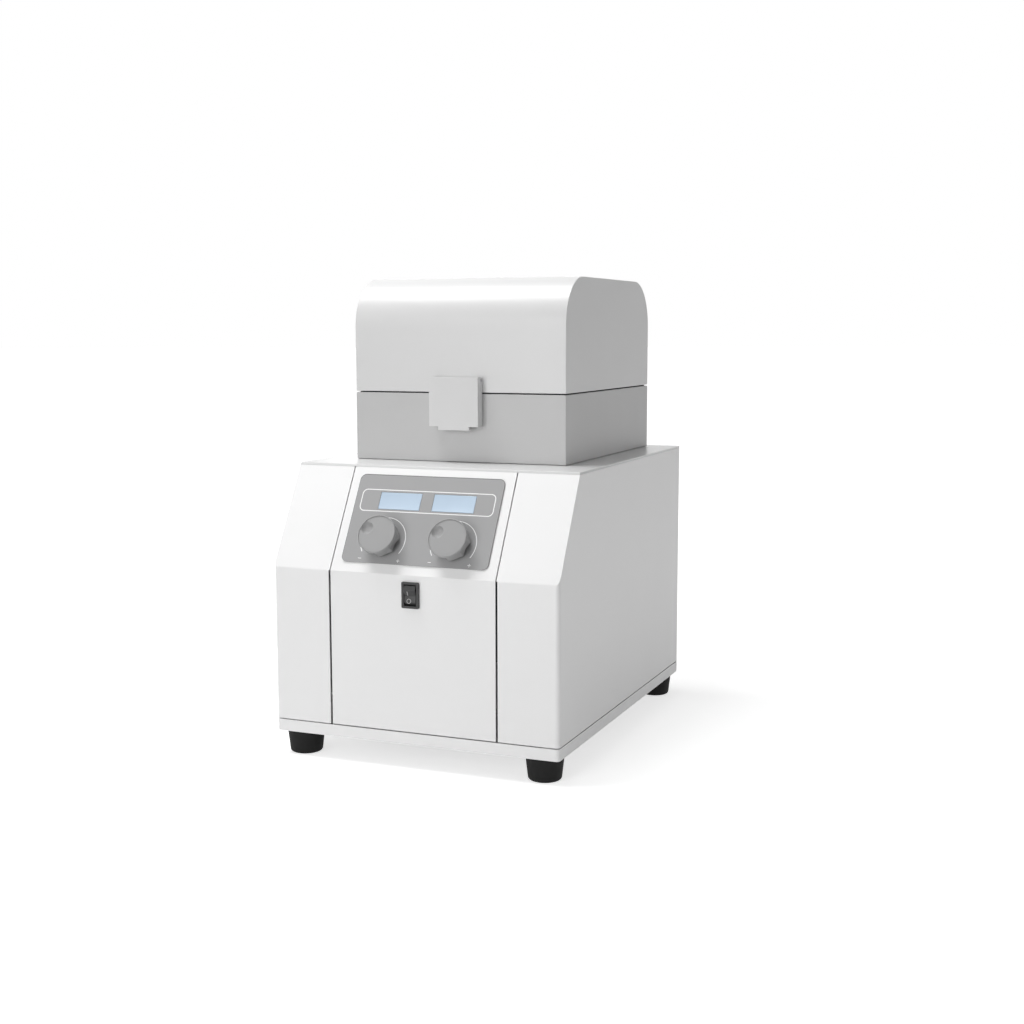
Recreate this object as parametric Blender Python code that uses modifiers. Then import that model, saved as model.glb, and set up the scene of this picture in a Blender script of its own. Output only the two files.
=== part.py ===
"""Bench-top tissue grinder: a sheet-metal housing with a sloping control panel, a lidded chamber on its
roof, and inside it a motor and spindle that rock a slotted tube plate without turning it.

Metres, +X to the user's right, +Y to the back, +Z up. The origin is on the table, under the middle of
the housing.
"""

import math

import bmesh
import bpy
from mathutils import Matrix, Vector

MM = 0.001
DEGREE = math.pi / 180

# Fits and cutting
GAP = 0.3 * MM
SEAM = 0.8 * MM
OVERRUN = 2 * MM
MERGE = 0.00001
FLAT_ANGLE = 0.1 * DEGREE
SHADING_ANGLE = 35 * DEGREE
EDGE_ANGLE = 40 * DEGREE
QUARTER = 90 * DEGREE
LEVEL_SHARE = 0.99
ROUND_PROFILE_SHARE = 0.5
FINE_STEPS = 32
ROUND_STEPS = 24
TURN_STEPS = 20
SMALL_STEPS = 14
SIDE_STEPS = 8
CORNER_STEPS = 4

# Housing
TRAY_HEIGHT = 9.6 * MM
HOUSING_HEIGHT = 219.5 * MM
SLOPE_RUN = 47 * MM
SLOPE_RISE = 82.1 * MM
SHEET = 1.5 * MM
ROOF_SHEET = 2 * MM
ROOF_GAP = 0.1 * MM
WRAP_WIDTH = 52.3 * MM
FLANGE_CUTBACK = 0.9 * MM
CORNER_RADIUS = 3.3 * MM
ROOF_CORNER = 0.6 * MM
ROOF_BORE_RADIUS = 38 * MM
TRAY_SLOT_LENGTH = 60 * MM
TRAY_SLOT_WIDTH = 5 * MM
TRAY_SLOT_PITCH = 14 * MM
TRAY_SLOT_COUNT = 6

# Feet
FOOT_HEIGHT = 20 * MM
FOOT_TOP_RADIUS = 15.5 * MM
FOOT_BOTTOM_RADIUS = 13.25 * MM
FOOT_EDGE_RADIUS = 2.5 * MM
FOOT_EDGE_STEPS = 3
FOOT_SIDE_INSET = 18 * MM
FOOT_END_INSET = 17 * MM
FOOT_RECESS_RADIUS = 5 * MM
FOOT_RECESS_DEPTH = 11 * MM
FOOT_SCREW_HOLE_RADIUS = 2.2 * MM

# Control panel, measured up the slope from the knee and out from the sheet
OVERLAY_SIDE_MARGIN = 8.3 * MM
OVERLAY_HEIGHT = 77.4 * MM
OVERLAY_START = 8.2 * MM
OVERLAY_RADIUS = 5 * MM
OVERLAY_THICKNESS = 0.5 * MM
DISPLAY_WIDTH_SHARE = 0.28804
DISPLAY_HEIGHT = 15.2 * MM
DISPLAY_SPREAD_SHARE = 0.18556
DISPLAY_RISE = 62.7 * MM
DISPLAY_FLANGE = 2.5 * MM
KNOB_SPREAD_SHARE = 0.24068
KNOB_RISE = 28.3 * MM
KNOB_RADIUS = 16.25 * MM
KNOB_CAP = 3.2 * MM
KNOB_FACE_RISE = 15 * MM
KNOB_FOOT_RISE = 2.1 * MM
KNOB_EDGE = 0.8 * MM
KNOB_FLUTES = 8
FLUTE_STEPS = 4
KNOB_SKIRT_RADIUS = 15.4 * MM
KNOB_FLUTE_DEPTH = 1.5 * MM
KNOB_RIDGE_ANGLE = 5 * DEGREE
KNOB_RECESS_RADIUS = 7.5 * MM
KNOB_RECESS_RISE = 6 * MM
KNOB_DIMPLE_RADIUS = 4.6 * MM
KNOB_DIMPLE_DEPTH = 1.2 * MM
KNOB_DIMPLE_REACH = 10.5 * MM
KNOB_DIMPLE_ANGLE = 154 * DEGREE
KNOB_TRAVEL = 1 * MM
MODULE_DEPTH = 8 * MM
BOARD_SIDE_INSET = 3.4 * MM
BOARD_END_INSET = 1.7 * MM
BOARD_THICKNESS = 1.6 * MM
BOARD_HOLE_RADIUS = 1.6 * MM
BOARD_HOLE_INSET = 4.5 * MM
ENCODER_SIDE = 13 * MM
ENCODER_BUSH_RADIUS = 4.5 * MM
ENCODER_BUSH_RISE = 4.5 * MM
ENCODER_SHAFT_RADIUS = 3 * MM
ENCODER_WALL = 0.7 * MM
ROTOR_RADIUS = 5.2 * MM
ROTOR_THICKNESS = 2.3 * MM

# Rocker switch
SWITCH_WIDTH = 15 * MM
SWITCH_HEIGHT = 21 * MM
SWITCH_DROP = 15.5 * MM
SWITCH_BEZEL = 1.8 * MM
SWITCH_BODY_WIDTH = 12.8 * MM
SWITCH_BODY_HEIGHT = 18.8 * MM
SWITCH_BODY_DEPTH = 13 * MM
SWITCH_POCKET_WIDTH = 10.8 * MM
SWITCH_POCKET_HEIGHT = 17.2 * MM
SWITCH_POCKET_DEPTH = 9 * MM
ROCKER_PIVOT_DEPTH = 3.5 * MM
ROCKER_TIP = 5 * MM
ROCKER_TIP_RISE = 1 * MM
ROCKER_VALLEY = 0.6 * MM
ROCKER_END_RADIUS = 8.3 * MM
ROCKER_END_TURN = 17 * DEGREE
ROCKER_END_STEPS = 4
ROCKER_TILT = 9 * DEGREE

# Chamber and lid
CHAMBER_SETBACK = 92.5 * MM
CHAMBER_REAR_MARGIN = 13.5 * MM
CHAMBER_SIDE_MARGIN = 29 * MM
CHAMBER_HEIGHT = 58 * MM
CHAMBER_WALL = 5 * MM
CHAMBER_BORE_RADIUS = 36 * MM
REBATE_WIDTH = 2.8 * MM
REBATE_DEPTH = 2.7 * MM
LID_SEAM = 1 * MM
LID_HEIGHT = 96 * MM
LID_WALL = 4 * MM
LID_RADIUS = 41 * MM
LID_CORNER_STEPS = 9

# Lid hinges
HINGE_INSET = 34 * MM
HINGE_WIDTH = 36 * MM
HINGE_LEAF_HEIGHT = 22 * MM
HINGE_LEAF = 2 * MM
HINGE_BARREL_RADIUS = 4 * MM
HINGE_PIN_RADIUS = 1.7 * MM
HINGE_KNUCKLES = 3

# Latch
LATCH_WIDTH = 44.4 * MM
LATCH_DEPTH = 10 * MM
LATCH_ABOVE = 13.4 * MM
LATCH_BELOW = 27.6 * MM
LATCH_WALL = 2 * MM
LATCH_TAB_WIDTH = 28 * MM
LATCH_TAB_HEIGHT = 3 * MM
LATCH_PIN_RADIUS = 1.2 * MM
LATCH_PIN_STANDOFF = 3 * MM
LATCH_BACK_RADIUS = 2.5 * MM
BRACKET_WIDTH = 34 * MM
BRACKET_NOSE = 3.9 * MM
BRACKET_DROP = 8 * MM
STRIKE_WIDTH = 24 * MM
STRIKE_HEIGHT = 9 * MM
STRIKE_DEPTH = 5.5 * MM
STRIKE_DROP = 12 * MM
CATCH_RIB_HEIGHT = 4 * MM

# Drive stand and motor
STAND_SHEET = 4 * MM
STAND_SIDE_GAP = 2.5 * MM
STAND_FOOT = 16 * MM
STAND_DEPTH = 110 * MM
STAND_BORE_RADIUS = 24 * MM
MOTOR_SIDE_GAP = 18 * MM
MOTOR_FLOOR_GAP = 31.7 * MM
MOTOR_GROOVES = 3
MOTOR_GROOVE_WIDTH = 5 * MM
MOTOR_GROOVE_DEPTH = 3 * MM
MOTOR_PITCH = 20 * MM
MOTOR_BORE_DEPTH = 54 * MM
SHAFT_RADIUS = 7 * MM
SHAFT_RISE = 22 * MM
COUPLING_RADIUS = 17 * MM
COUPLING_LENGTH = 30 * MM
COUPLING_RISE = 10 * MM
COUPLING_SLIT = 2 * MM

# Spindle
HOUSING_FLANGE_RADIUS = 46 * MM
HOUSING_FLANGE = 8 * MM
HOUSING_TUBE_RADIUS = 30 * MM
HOUSING_TUBE_LENGTH = 92 * MM
HOUSING_LIP = 4 * MM
HOUSING_LIP_RADIUS = 12 * MM
BEARING_RADIUS = 20 * MM
BEARING_WIDTH = 12 * MM
BEARING_FACE_DEPTH = 0.8 * MM
BEARING_STEPS = 16
BEARING_RACE_SHARE = 0.24
LOWER_BEARING_RISE = 42 * MM
UPPER_BEARING_RISE = 84 * MM
SPINDLE_RADIUS = 8.5 * MM
SPINDLE_SHOULDER_RADIUS = 10.5 * MM
SEAL_RADIUS = 40 * MM
SEAL_HEIGHT = 9 * MM
SEAL_WALL = 2 * MM

# Rocking head, measured along the tilted axis from the rocking centre
HEAD_TILT = 6 * DEGREE
HEAD_RISE = 52.5 * MM
HEAD_STANDOFF = 33.9 * MM
HUB_FLANGE_RADIUS = 24 * MM
HUB_FLANGE = 9 * MM
HUB_STANDOFF = 3 * MM
HUB_BORE_DEPTH = 17 * MM
JOURNAL_RADIUS = 12.5 * MM
JOURNAL_SHOULDER_RADIUS = 16 * MM
HEAD_BEARING_RADIUS = 21 * MM
HEAD_BEARING_WIDTH = 12 * MM
PLATE_RADIUS = 76 * MM
PLATE_SIDE_ROOM = 15 * MM
PLATE_THICKNESS = 14 * MM
PLATE_BOSS_RADIUS = 27 * MM
PLATE_LIP = 3 * MM
TUBE_COUNT = 12
SLOT_STEPS = 5
RIM_STEPS = 3
TUBE_SLOT_RADIUS = 5.7 * MM
TUBE_RING_INSET = 16 * MM
TUBE_CAP_ROOM = 11 * MM
STUD_RADIUS = 5 * MM
STUD_FLANGE_RADIUS = 26 * MM
STUD_FLANGE = 3 * MM
STUD_RISE = 36 * MM
COVER_INSET = 4 * MM
COVER_THICKNESS = 4 * MM
COVER_BOSS_RADIUS = 14 * MM
COVER_RIM = 3 * MM
COVER_RIM_DEPTH = 3 * MM
CLAMP_RADIUS = 21 * MM
CLAMP_LOBE_DEPTH = 3.5 * MM
CLAMP_LOBES = 5
CLAMP_LOBE_STEPS = 8
CLAMP_HEIGHT = 17 * MM
CLAMP_EDGE = 1.5 * MM

# Fork that keeps the tube plate from turning
PIN_RADIUS = 3 * MM
PIN_SEAT_DEPTH = 8 * MM
PIN_TIP = 1 * MM
PIN_CLEARANCE = 0.8 * MM
FORK_WIDTH = 20 * MM
FORK_DEPTH = 8 * MM
FORK_STANDOFF = 8 * MM
FORK_WALL_GAP = 15 * MM
FORK_BASE_WIDTH = 30 * MM
FORK_BASE_DEPTH = 18 * MM
FORK_BASE = 4 * MM
FORK_SLOT_REACH = 16 * MM

# Mains inlet
INLET_WIDTH = 50 * MM
INLET_HEIGHT = 28 * MM
INLET_FLANGE = 2.6 * MM
INLET_BODY_WIDTH = 32 * MM
INLET_BODY_HEIGHT = 24 * MM
INLET_BODY_DEPTH = 22 * MM
INLET_SOCKET_WIDTH = 24.6 * MM
INLET_SOCKET_HEIGHT = 16.6 * MM
INLET_SOCKET_DEPTH = 17 * MM
INLET_SOCKET_CHAMFER = 5 * MM
INLET_OFFSET = 36 * MM
INLET_RISE = 28.4 * MM
INLET_PIN_WIDTH = 2 * MM
INLET_PIN_HEIGHT = 4 * MM
INLET_PIN_LENGTH = 12 * MM
INLET_PIN_PITCH = 7 * MM
INLET_PIN_DROP = 4 * MM
INLET_TAIL = 8 * MM

# Fan
FAN_SIZE = 80 * MM
FAN_DEPTH = 25 * MM
FAN_CORNER = 4 * MM
FAN_BORE_RADIUS = 38 * MM
FAN_DROP = 89.5 * MM
FAN_FLANGE = 4 * MM
FAN_DUCT_WALL = 1.8 * MM
FAN_CARRIER_RADIUS = 17 * MM
FAN_CARRIER = 4 * MM
FAN_STRUTS = 4
FAN_STRUT_WIDTH = 5 * MM
FAN_AXLE_RADIUS = 2 * MM
FAN_HUB_RADIUS = 16 * MM
FAN_BLADES = 7
FAN_BLADE_SPANS = 2
FAN_BLADE_CHORDS = 3
FAN_BLADE_RADIUS = 36.5 * MM
FAN_BLADE = 1.6 * MM
FAN_BLADE_SWEEP = 34 * DEGREE
FAN_TIP_SWEEP = 24 * DEGREE
FAN_HUB_DEPTH = 16 * MM
GUARD_WIRE = 1.1 * MM
GUARD_RINGS = 4
GUARD_WIRE_SIDES = 4
GUARD_PITCH = 8.6 * MM
GUARD_FIRST = 12 * MM
GUARD_ARM_REACH = 46 * MM

# Electronics
CASE_WIDTH = 34 * MM
CASE_SIDE_GAP = 6 * MM
SUPPLY_DEPTH = 150 * MM
SUPPLY_HEIGHT = 96 * MM
SUPPLY_SLOTS = 9
SUPPLY_SLOT_INSET = 24 * MM
SUPPLY_SLOT_WIDTH = 3 * MM
SUPPLY_SLOT_DEPTH = 2.5 * MM
DRIVER_DEPTH = 120 * MM
DRIVER_HEIGHT = 90 * MM
DRIVER_FINS = 9
DRIVER_FIN_SHARE = 0.5
DRIVER_FIN_DEPTH = 14 * MM

# Levels and planes that the pieces share; the chamber and the housing are sized round the tube plate
TUBE_RING_RADIUS = PLATE_RADIUS - TUBE_RING_INSET
COVER_RADIUS = PLATE_RADIUS - COVER_INSET
FORK_START = PLATE_RADIUS + FORK_STANDOFF
PIN_START = PLATE_RADIUS - PIN_SEAT_DEPTH
PIN_END = FORK_START + FORK_DEPTH + PIN_TIP
CHAMBER_WIDTH = 2 * (PLATE_RADIUS + PLATE_SIDE_ROOM + CHAMBER_WALL)
CHAMBER_DEPTH = 2 * (FORK_START + FORK_DEPTH + FORK_WALL_GAP + CHAMBER_WALL)
WIDTH = CHAMBER_WIDTH + 2 * CHAMBER_SIDE_MARGIN
DEPTH = CHAMBER_SETBACK + CHAMBER_DEPTH + CHAMBER_REAR_MARGIN
HINGE_SPREAD = CHAMBER_WIDTH / 2 - HINGE_INSET
CASE_X = WIDTH / 2 - SHEET - CASE_SIDE_GAP - CASE_WIDTH
STAND_HALF_SPAN = CASE_X - STAND_SIDE_GAP - STAND_FOOT
MOTOR_RADIUS = STAND_HALF_SPAN - STAND_SHEET - MOTOR_SIDE_GAP
FRONT = -DEPTH / 2
REAR = DEPTH / 2
TRAY_BOTTOM = FOOT_HEIGHT
TRAY_TOP = TRAY_BOTTOM + TRAY_HEIGHT
TRAY_FLOOR = TRAY_BOTTOM + SHEET
ROOF = TRAY_BOTTOM + HOUSING_HEIGHT
KNEE = ROOF - SLOPE_RISE
COVER_BOTTOM = TRAY_TOP + SEAM
COVER_TOP = ROOF - ROOF_SHEET - ROOF_GAP
SEAM_X = WIDTH / 2 - WRAP_WIDTH
OVERLAY_WIDTH = 2 * (SEAM_X - OVERLAY_SIDE_MARGIN)
DISPLAY_WIDTH = DISPLAY_WIDTH_SHARE * OVERLAY_WIDTH
DISPLAY_SPREAD = DISPLAY_SPREAD_SHARE * OVERLAY_WIDTH
KNOB_SPREAD = KNOB_SPREAD_SHARE * OVERLAY_WIDTH
BOARD_WIDTH = OVERLAY_WIDTH - 2 * BOARD_SIDE_INSET
BOARD_HEIGHT = OVERLAY_HEIGHT - 2 * BOARD_END_INSET
SLOPE_ANGLE = math.atan2(SLOPE_RISE, SLOPE_RUN)
ROOF_FRONT = FRONT + SLOPE_RUN
CHAMBER_FRONT = FRONT + CHAMBER_SETBACK
CHAMBER_REAR = CHAMBER_FRONT + CHAMBER_DEPTH
CHAMBER_BOTTOM = ROOF + GAP
SEAM_LEVEL = ROOF + CHAMBER_HEIGHT
CHAMBER_TOP = SEAM_LEVEL - LID_SEAM / 2
LID_BOTTOM = SEAM_LEVEL + LID_SEAM / 2
LID_TOP = SEAM_LEVEL + LID_HEIGHT
CHAMBER_FLOOR = CHAMBER_BOTTOM + CHAMBER_WALL
DRIVE_Y = (CHAMBER_FRONT + CHAMBER_REAR) / 2
HEAD_LEVEL = ROOF + HEAD_RISE
HOUSING_TOP = HEAD_LEVEL - HEAD_STANDOFF
HUB_FLANGE_BOTTOM = HOUSING_TOP + HUB_STANDOFF
SPINDLE_BASE = HOUSING_TOP - HOUSING_TUBE_LENGTH - HOUSING_FLANGE
STAND_TOP = SPINDLE_BASE - GAP
STAND_BOTTOM = TRAY_FLOOR + GAP
MOTOR_TOP = STAND_TOP - STAND_SHEET - GAP
MOTOR_BOTTOM = STAND_BOTTOM + MOTOR_FLOOR_GAP
HINGE_Y = CHAMBER_REAR + GAP + HINGE_BARREL_RADIUS
LATCH_FRONT = CHAMBER_FRONT - LATCH_DEPTH
LATCH_TOP = SEAM_LEVEL + LATCH_ABOVE
LATCH_BOTTOM = SEAM_LEVEL - LATCH_BELOW
LATCH_PIN_Y = CHAMBER_FRONT - LATCH_PIN_STANDOFF
LATCH_PIN_Z = LATCH_TOP - LATCH_BACK_RADIUS
SWITCH_LEVEL = KNEE - SWITCH_DROP
OVERLAY_FACE = GAP + OVERLAY_THICKNESS
MODULE_TOP = -SHEET - GAP
MODULE_BOTTOM = MODULE_TOP - MODULE_DEPTH
BOARD_TOP = MODULE_BOTTOM - GAP
REAR_INNER = REAR - SHEET
FAN_LEVEL = ROOF - FAN_DROP
INLET_LEVEL = TRAY_TOP + INLET_RISE

# Finishes: colour, roughness, metallic
WHITE_PAINT = ((0.86, 0.86, 0.86), 0.45, 0.0)
CHAMBER_PAINT = ((0.78, 0.78, 0.78), 0.45, 0.0)
LATCH_PLASTIC = ((0.70, 0.70, 0.70), 0.5, 0.0)
OVERLAY_GREY = ((0.38, 0.38, 0.39), 0.5, 0.0)
KNOB_GREY = ((0.34, 0.34, 0.35), 0.5, 0.0)
DISPLAY_BLUE = ((0.52, 0.64, 0.80), 0.25, 0.0)
SWITCH_BLACK = ((0.06, 0.06, 0.065), 0.4, 0.0)
BLACK_PLASTIC = ((0.04, 0.04, 0.04), 0.45, 0.0)
BLACK_RUBBER = ((0.015, 0.015, 0.015), 0.75, 0.0)
BOARD_GREEN = ((0.02, 0.16, 0.07), 0.5, 0.0)
STEEL = ((0.55, 0.55, 0.56), 0.3, 1.0)
DARK_STEEL = ((0.30, 0.30, 0.31), 0.4, 1.0)
ALUMINIUM = ((0.72, 0.72, 0.74), 0.35, 1.0)
ZINC_PLATE = ((0.60, 0.60, 0.58), 0.42, 1.0)
BRASS = ((0.70, 0.52, 0.24), 0.35, 1.0)


# Scene and collections

def start_collections():
    for item in list(bpy.context.scene.objects):
        bpy.data.objects.remove(item, do_unlink=True)
    made = []
    for name in ("tissue_grinder", "cutters"):
        collection = bpy.data.collections.new(name)
        bpy.context.scene.collection.children.link(collection)
        made.append(collection)
    return made


PARTS, CUTTERS = start_collections()


def add_object(name, mesh, collection=PARTS):
    item = bpy.data.objects.new(name, mesh)
    collection.objects.link(item)
    return item


def axis_empty(name, location, rotation=(0, 0, 0), parent=None):
    empty = bpy.data.objects.new(name, None)
    PARTS.objects.link(empty)
    empty.location = location
    empty.rotation_euler = rotation
    empty.parent = parent
    return empty


def place(item, location=(0, 0, 0), rotation=(0, 0, 0), parent=None):
    item.location = location
    item.rotation_euler = rotation
    item.parent = parent
    return item


def carry(axis, *items):
    """Parent pieces that stand in world coordinates to an axis empty, without moving them."""
    for item in items:
        item.parent = axis
        item.matrix_parent_inverse = axis.matrix_basis.inverted()


def dress(item, finish):
    colour, roughness, metallic = finish
    material = bpy.data.materials.new(f"{item.name}_finish")
    material.use_nodes = True
    shader = material.node_tree.nodes["Principled BSDF"]
    shader.inputs["Base Color"].default_value = (*colour, 1)
    shader.inputs["Roughness"].default_value = roughness
    shader.inputs["Metallic"].default_value = metallic
    material.diffuse_color = (*colour, 1)
    item.data.materials.clear()
    item.data.materials.append(material)
    return item


def round_shading(item):
    item.data.shade_smooth()
    item.data.set_sharp_from_angle(angle=SHADING_ANGLE)
    return item


# Shapes

def finish_mesh(name, bm, collection=PARTS):
    bmesh.ops.recalc_face_normals(bm, faces=bm.faces)
    mesh = bpy.data.meshes.new(name)
    bm.to_mesh(mesh)
    bm.free()
    return add_object(name, mesh, collection)


def block(name, low, high, collection=PARTS):
    """A box between two corners."""
    low, high = Vector(low), Vector(high)
    bm = bmesh.new()
    bmesh.ops.create_cube(bm, size=1)
    bmesh.ops.scale(bm, vec=high - low, verts=bm.verts)
    bmesh.ops.translate(bm, vec=(low + high) / 2, verts=bm.verts)
    return finish_mesh(name, bm, collection)


def rod(name, radius, low, high, steps=SMALL_STEPS, collection=PARTS):
    """A cylinder along its own Z from low to high."""
    bm = bmesh.new()
    bmesh.ops.create_cone(
        bm, cap_ends=True, segments=steps, radius1=radius, radius2=radius, depth=high - low,
    )
    bmesh.ops.translate(bm, vec=(0, 0, (low + high) / 2), verts=bm.verts)
    return round_shading(finish_mesh(name, bm, collection))


def turned(name, profile, steps=ROUND_STEPS, closed=False, collection=PARTS):
    """A profile of (radius, height) points turned about Z. It runs down its outer side, top to bottom."""
    bm = bmesh.new()
    points = [bm.verts.new((radius, 0, height)) for radius, height in profile]
    for first, second in zip(points, points[1:]):
        bm.edges.new((first, second))
    if closed:
        bm.edges.new((points[-1], points[0]))
    mesh = bpy.data.meshes.new(name)
    bm.to_mesh(mesh)
    bm.free()
    item = add_object(name, mesh, collection)
    screw = item.modifiers.new("turn", "SCREW")
    screw.axis = "Z"
    screw.angle = 2 * math.pi
    screw.steps = steps
    screw.render_steps = steps
    screw.use_merge_vertices = True
    screw.merge_threshold = MERGE
    return item


def ring(name, inner, outer, low, high, steps=ROUND_STEPS, collection=PARTS):
    profile = [(outer, high), (outer, low), (inner, low), (inner, high)]
    return turned(name, profile, steps, closed=True, collection=collection)


def flat_piece(name, loops, thickness, collection=PARTS):
    """A flat outline with holes in its own XY plane, its thickness centred on that plane."""
    curve = bpy.data.curves.new(name, "CURVE")
    curve.dimensions = "2D"
    curve.fill_mode = "BOTH"
    curve.extrude = thickness / 2
    for loop in loops:
        spline = curve.splines.new("POLY")
        spline.points.add(len(loop) - 1)
        for point, (across, along) in zip(spline.points, loop):
            point.co = (across, along, 0, 1)
        spline.use_cyclic_u = True
    outline = add_object(name + "_outline", curve, CUTTERS)
    graph = bpy.context.evaluated_depsgraph_get()
    mesh = bpy.data.meshes.new_from_object(outline.evaluated_get(graph))
    bpy.data.objects.remove(outline, do_unlink=True)
    bpy.data.curves.remove(curve)
    bm = bmesh.new()
    bm.from_mesh(mesh)
    bpy.data.meshes.remove(mesh)
    bmesh.ops.remove_doubles(bm, verts=bm.verts, dist=MERGE)
    if len(loops) == 1:
        bmesh.ops.dissolve_limit(bm, angle_limit=FLAT_ANGLE, verts=bm.verts, edges=bm.edges)
    return finish_mesh(name, bm, collection)


def rounded_polygon(points, radii, steps=CORNER_STEPS):
    """The polygon's points, with an arc of its own radius in place of each corner."""
    outline = []
    count = len(points)
    for index, corner in enumerate(points):
        corner = Vector(corner)
        radius = radii[index]
        if radius == 0:
            outline.append(tuple(corner))
            continue
        before = (Vector(points[index - 1]) - corner).normalized()
        after = (Vector(points[(index + 1) % count]) - corner).normalized()
        half = before.angle(after) / 2
        centre = corner + (before + after).normalized() * radius / math.sin(half)
        start = corner + before * radius / math.tan(half) - centre
        finish = corner + after * radius / math.tan(half) - centre
        sweep = start.angle_signed(finish)
        for step in range(steps + 1):
            turn = Matrix.Rotation(-sweep * step / steps, 2)
            outline.append(tuple(centre + turn @ start))
    return outline


def rectangle(width, height, radius=0, centre=(0, 0), steps=CORNER_STEPS):
    across, along = width / 2, height / 2
    x, y = centre
    signs = ((-1, -1), (1, -1), (1, 1), (-1, 1))
    corners = [(x + sign_x * across, y + sign_y * along) for sign_x, sign_y in signs]
    return rounded_polygon(corners, [radius] * len(corners), steps)


def circle(radius, steps=SMALL_STEPS, centre=(0, 0)):
    x, y = centre
    angles = [2 * math.pi * step / steps for step in range(steps)]
    return [(x + radius * math.cos(angle), y + radius * math.sin(angle)) for angle in angles]


def offset_path(points, distance):
    """An open path moved sideways, to the right of its direction, with mitred corners."""
    moved = []
    for index, point in enumerate(points):
        sides = []
        for first, second in ((index - 1, index), (index, index + 1)):
            if first >= 0 and second < len(points):
                run = (Vector(points[second]) - Vector(points[first])).normalized()
                sides.append(Vector((run.y, -run.x)))
        normal = sum(sides, Vector((0, 0))).normalized()
        moved.append(tuple(Vector(point) + normal * distance / normal.dot(sides[0])))
    return moved


def cut(item, *cutters):
    """Cut hidden helper solids out of a piece."""
    for cutter in cutters:
        boolean = item.modifiers.new("cut", "BOOLEAN")
        boolean.operation = "DIFFERENCE"
        boolean.solver = "EXACT"
        boolean.object = cutter
        cutter.hide_render = True
        cutter.display_type = "WIRE"
    return item


def join(item, *additions):
    """Unite hidden helper solids with a piece."""
    for addition in additions:
        boolean = item.modifiers.new("join", "BOOLEAN")
        boolean.operation = "UNION"
        boolean.solver = "EXACT"
        boolean.object = addition
        addition.hide_render = True
        addition.display_type = "WIRE"
    return item


def soften(item, width, segments=2):
    bevel = item.modifiers.new("soften", "BEVEL")
    bevel.width = width
    bevel.segments = segments
    bevel.limit_method = "ANGLE"
    bevel.angle_limit = EDGE_ANGLE
    return item


# Directions that turn a flat outline into a plane of the machine
UPRIGHT = (QUARTER, 0, 0)
SIDEWAYS = (QUARTER, 0, QUARTER)
FACING_BACK = (QUARTER, 0, 2 * QUARTER)
TOWARDS_BACK = (-QUARTER, 0, 0)
PANEL_TILT = (SLOPE_ANGLE, 0, 0)
SIDES = (("left", -1), ("right", 1))


# Housing

def slope_y(level):
    return FRONT + SLOPE_RUN * (level - KNEE) / SLOPE_RISE


def side_cover(side, mirror):
    """A cover folded round the front and the back; its outline lies in the YZ plane.

    Its front flange stops short of its sloping one, which leaves the wider seam below the slope.
    """
    outline = [
        (FRONT, COVER_BOTTOM),
        (REAR, COVER_BOTTOM),
        (REAR, COVER_TOP),
        (slope_y(COVER_TOP), COVER_TOP),
        (FRONT, KNEE),
    ]
    wrap = WRAP_WIDTH - SEAM / 2
    cover = flat_piece(f"{side}_side_cover", [outline], wrap)
    bm = bmesh.new()
    bm.from_mesh(cover.data)
    outer = mirror * wrap / 2
    folds = []
    for edge in bm.edges:
        upright = abs(edge.verts[0].co.x - edge.verts[1].co.x) < MERGE
        if upright and all(abs(vert.co.z - outer) < MERGE for vert in edge.verts):
            folds.append(edge)
    bmesh.ops.bevel(
        bm, geom=folds, offset=CORNER_RADIUS, offset_type="OFFSET", segments=CORNER_STEPS,
        profile=ROUND_PROFILE_SHARE, affect="EDGES", material=-1, clamp_overlap=True,
    )
    open_faces = []
    for face in bm.faces:
        middle = face.calc_center_median()
        level_face = abs(face.normal.y) > LEVEL_SHARE and abs(face.normal.z) < 1 - LEVEL_SHARE
        inner_face = abs(middle.z + outer) < MERGE
        if inner_face or level_face and not COVER_BOTTOM + MERGE < middle.y < COVER_TOP - MERGE:
            open_faces.append(face)
    bmesh.ops.delete(bm, geom=open_faces, context="FACES")
    bm.to_mesh(cover.data)
    bm.free()
    shell = cover.modifiers.new("sheet", "SOLIDIFY")
    shell.thickness = SHEET
    shell.offset = -1
    shell.use_even_offset = True
    place(cover, (mirror * (WIDTH - wrap) / 2, 0, 0), SIDEWAYS)
    near, far = sorted((mirror * (SEAM_X - SEAM), mirror * (SEAM_X + SEAM / 2 + FLANGE_CUTBACK)))
    cutback = block(f"{side}_flange_cutback", (near, FRONT - OVERRUN, COVER_BOTTOM - OVERRUN),
                    (far, FRONT + SHEET + OVERRUN, KNEE), CUTTERS)
    return round_shading(dress(cut(cover, cutback), WHITE_PAINT))


def bent_sheet(name, path, thickness, width):
    """A sheet of one thickness folded along a path, extruded along its own Z."""
    outline = list(path) + offset_path(path, thickness)[::-1]
    return flat_piece(name, [outline], width)


def panel_cutter(name, loop, parent):
    cutter = flat_piece(name, [loop], 2 * (SHEET + OVERRUN), CUTTERS)
    return place(cutter, parent=parent)


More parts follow.
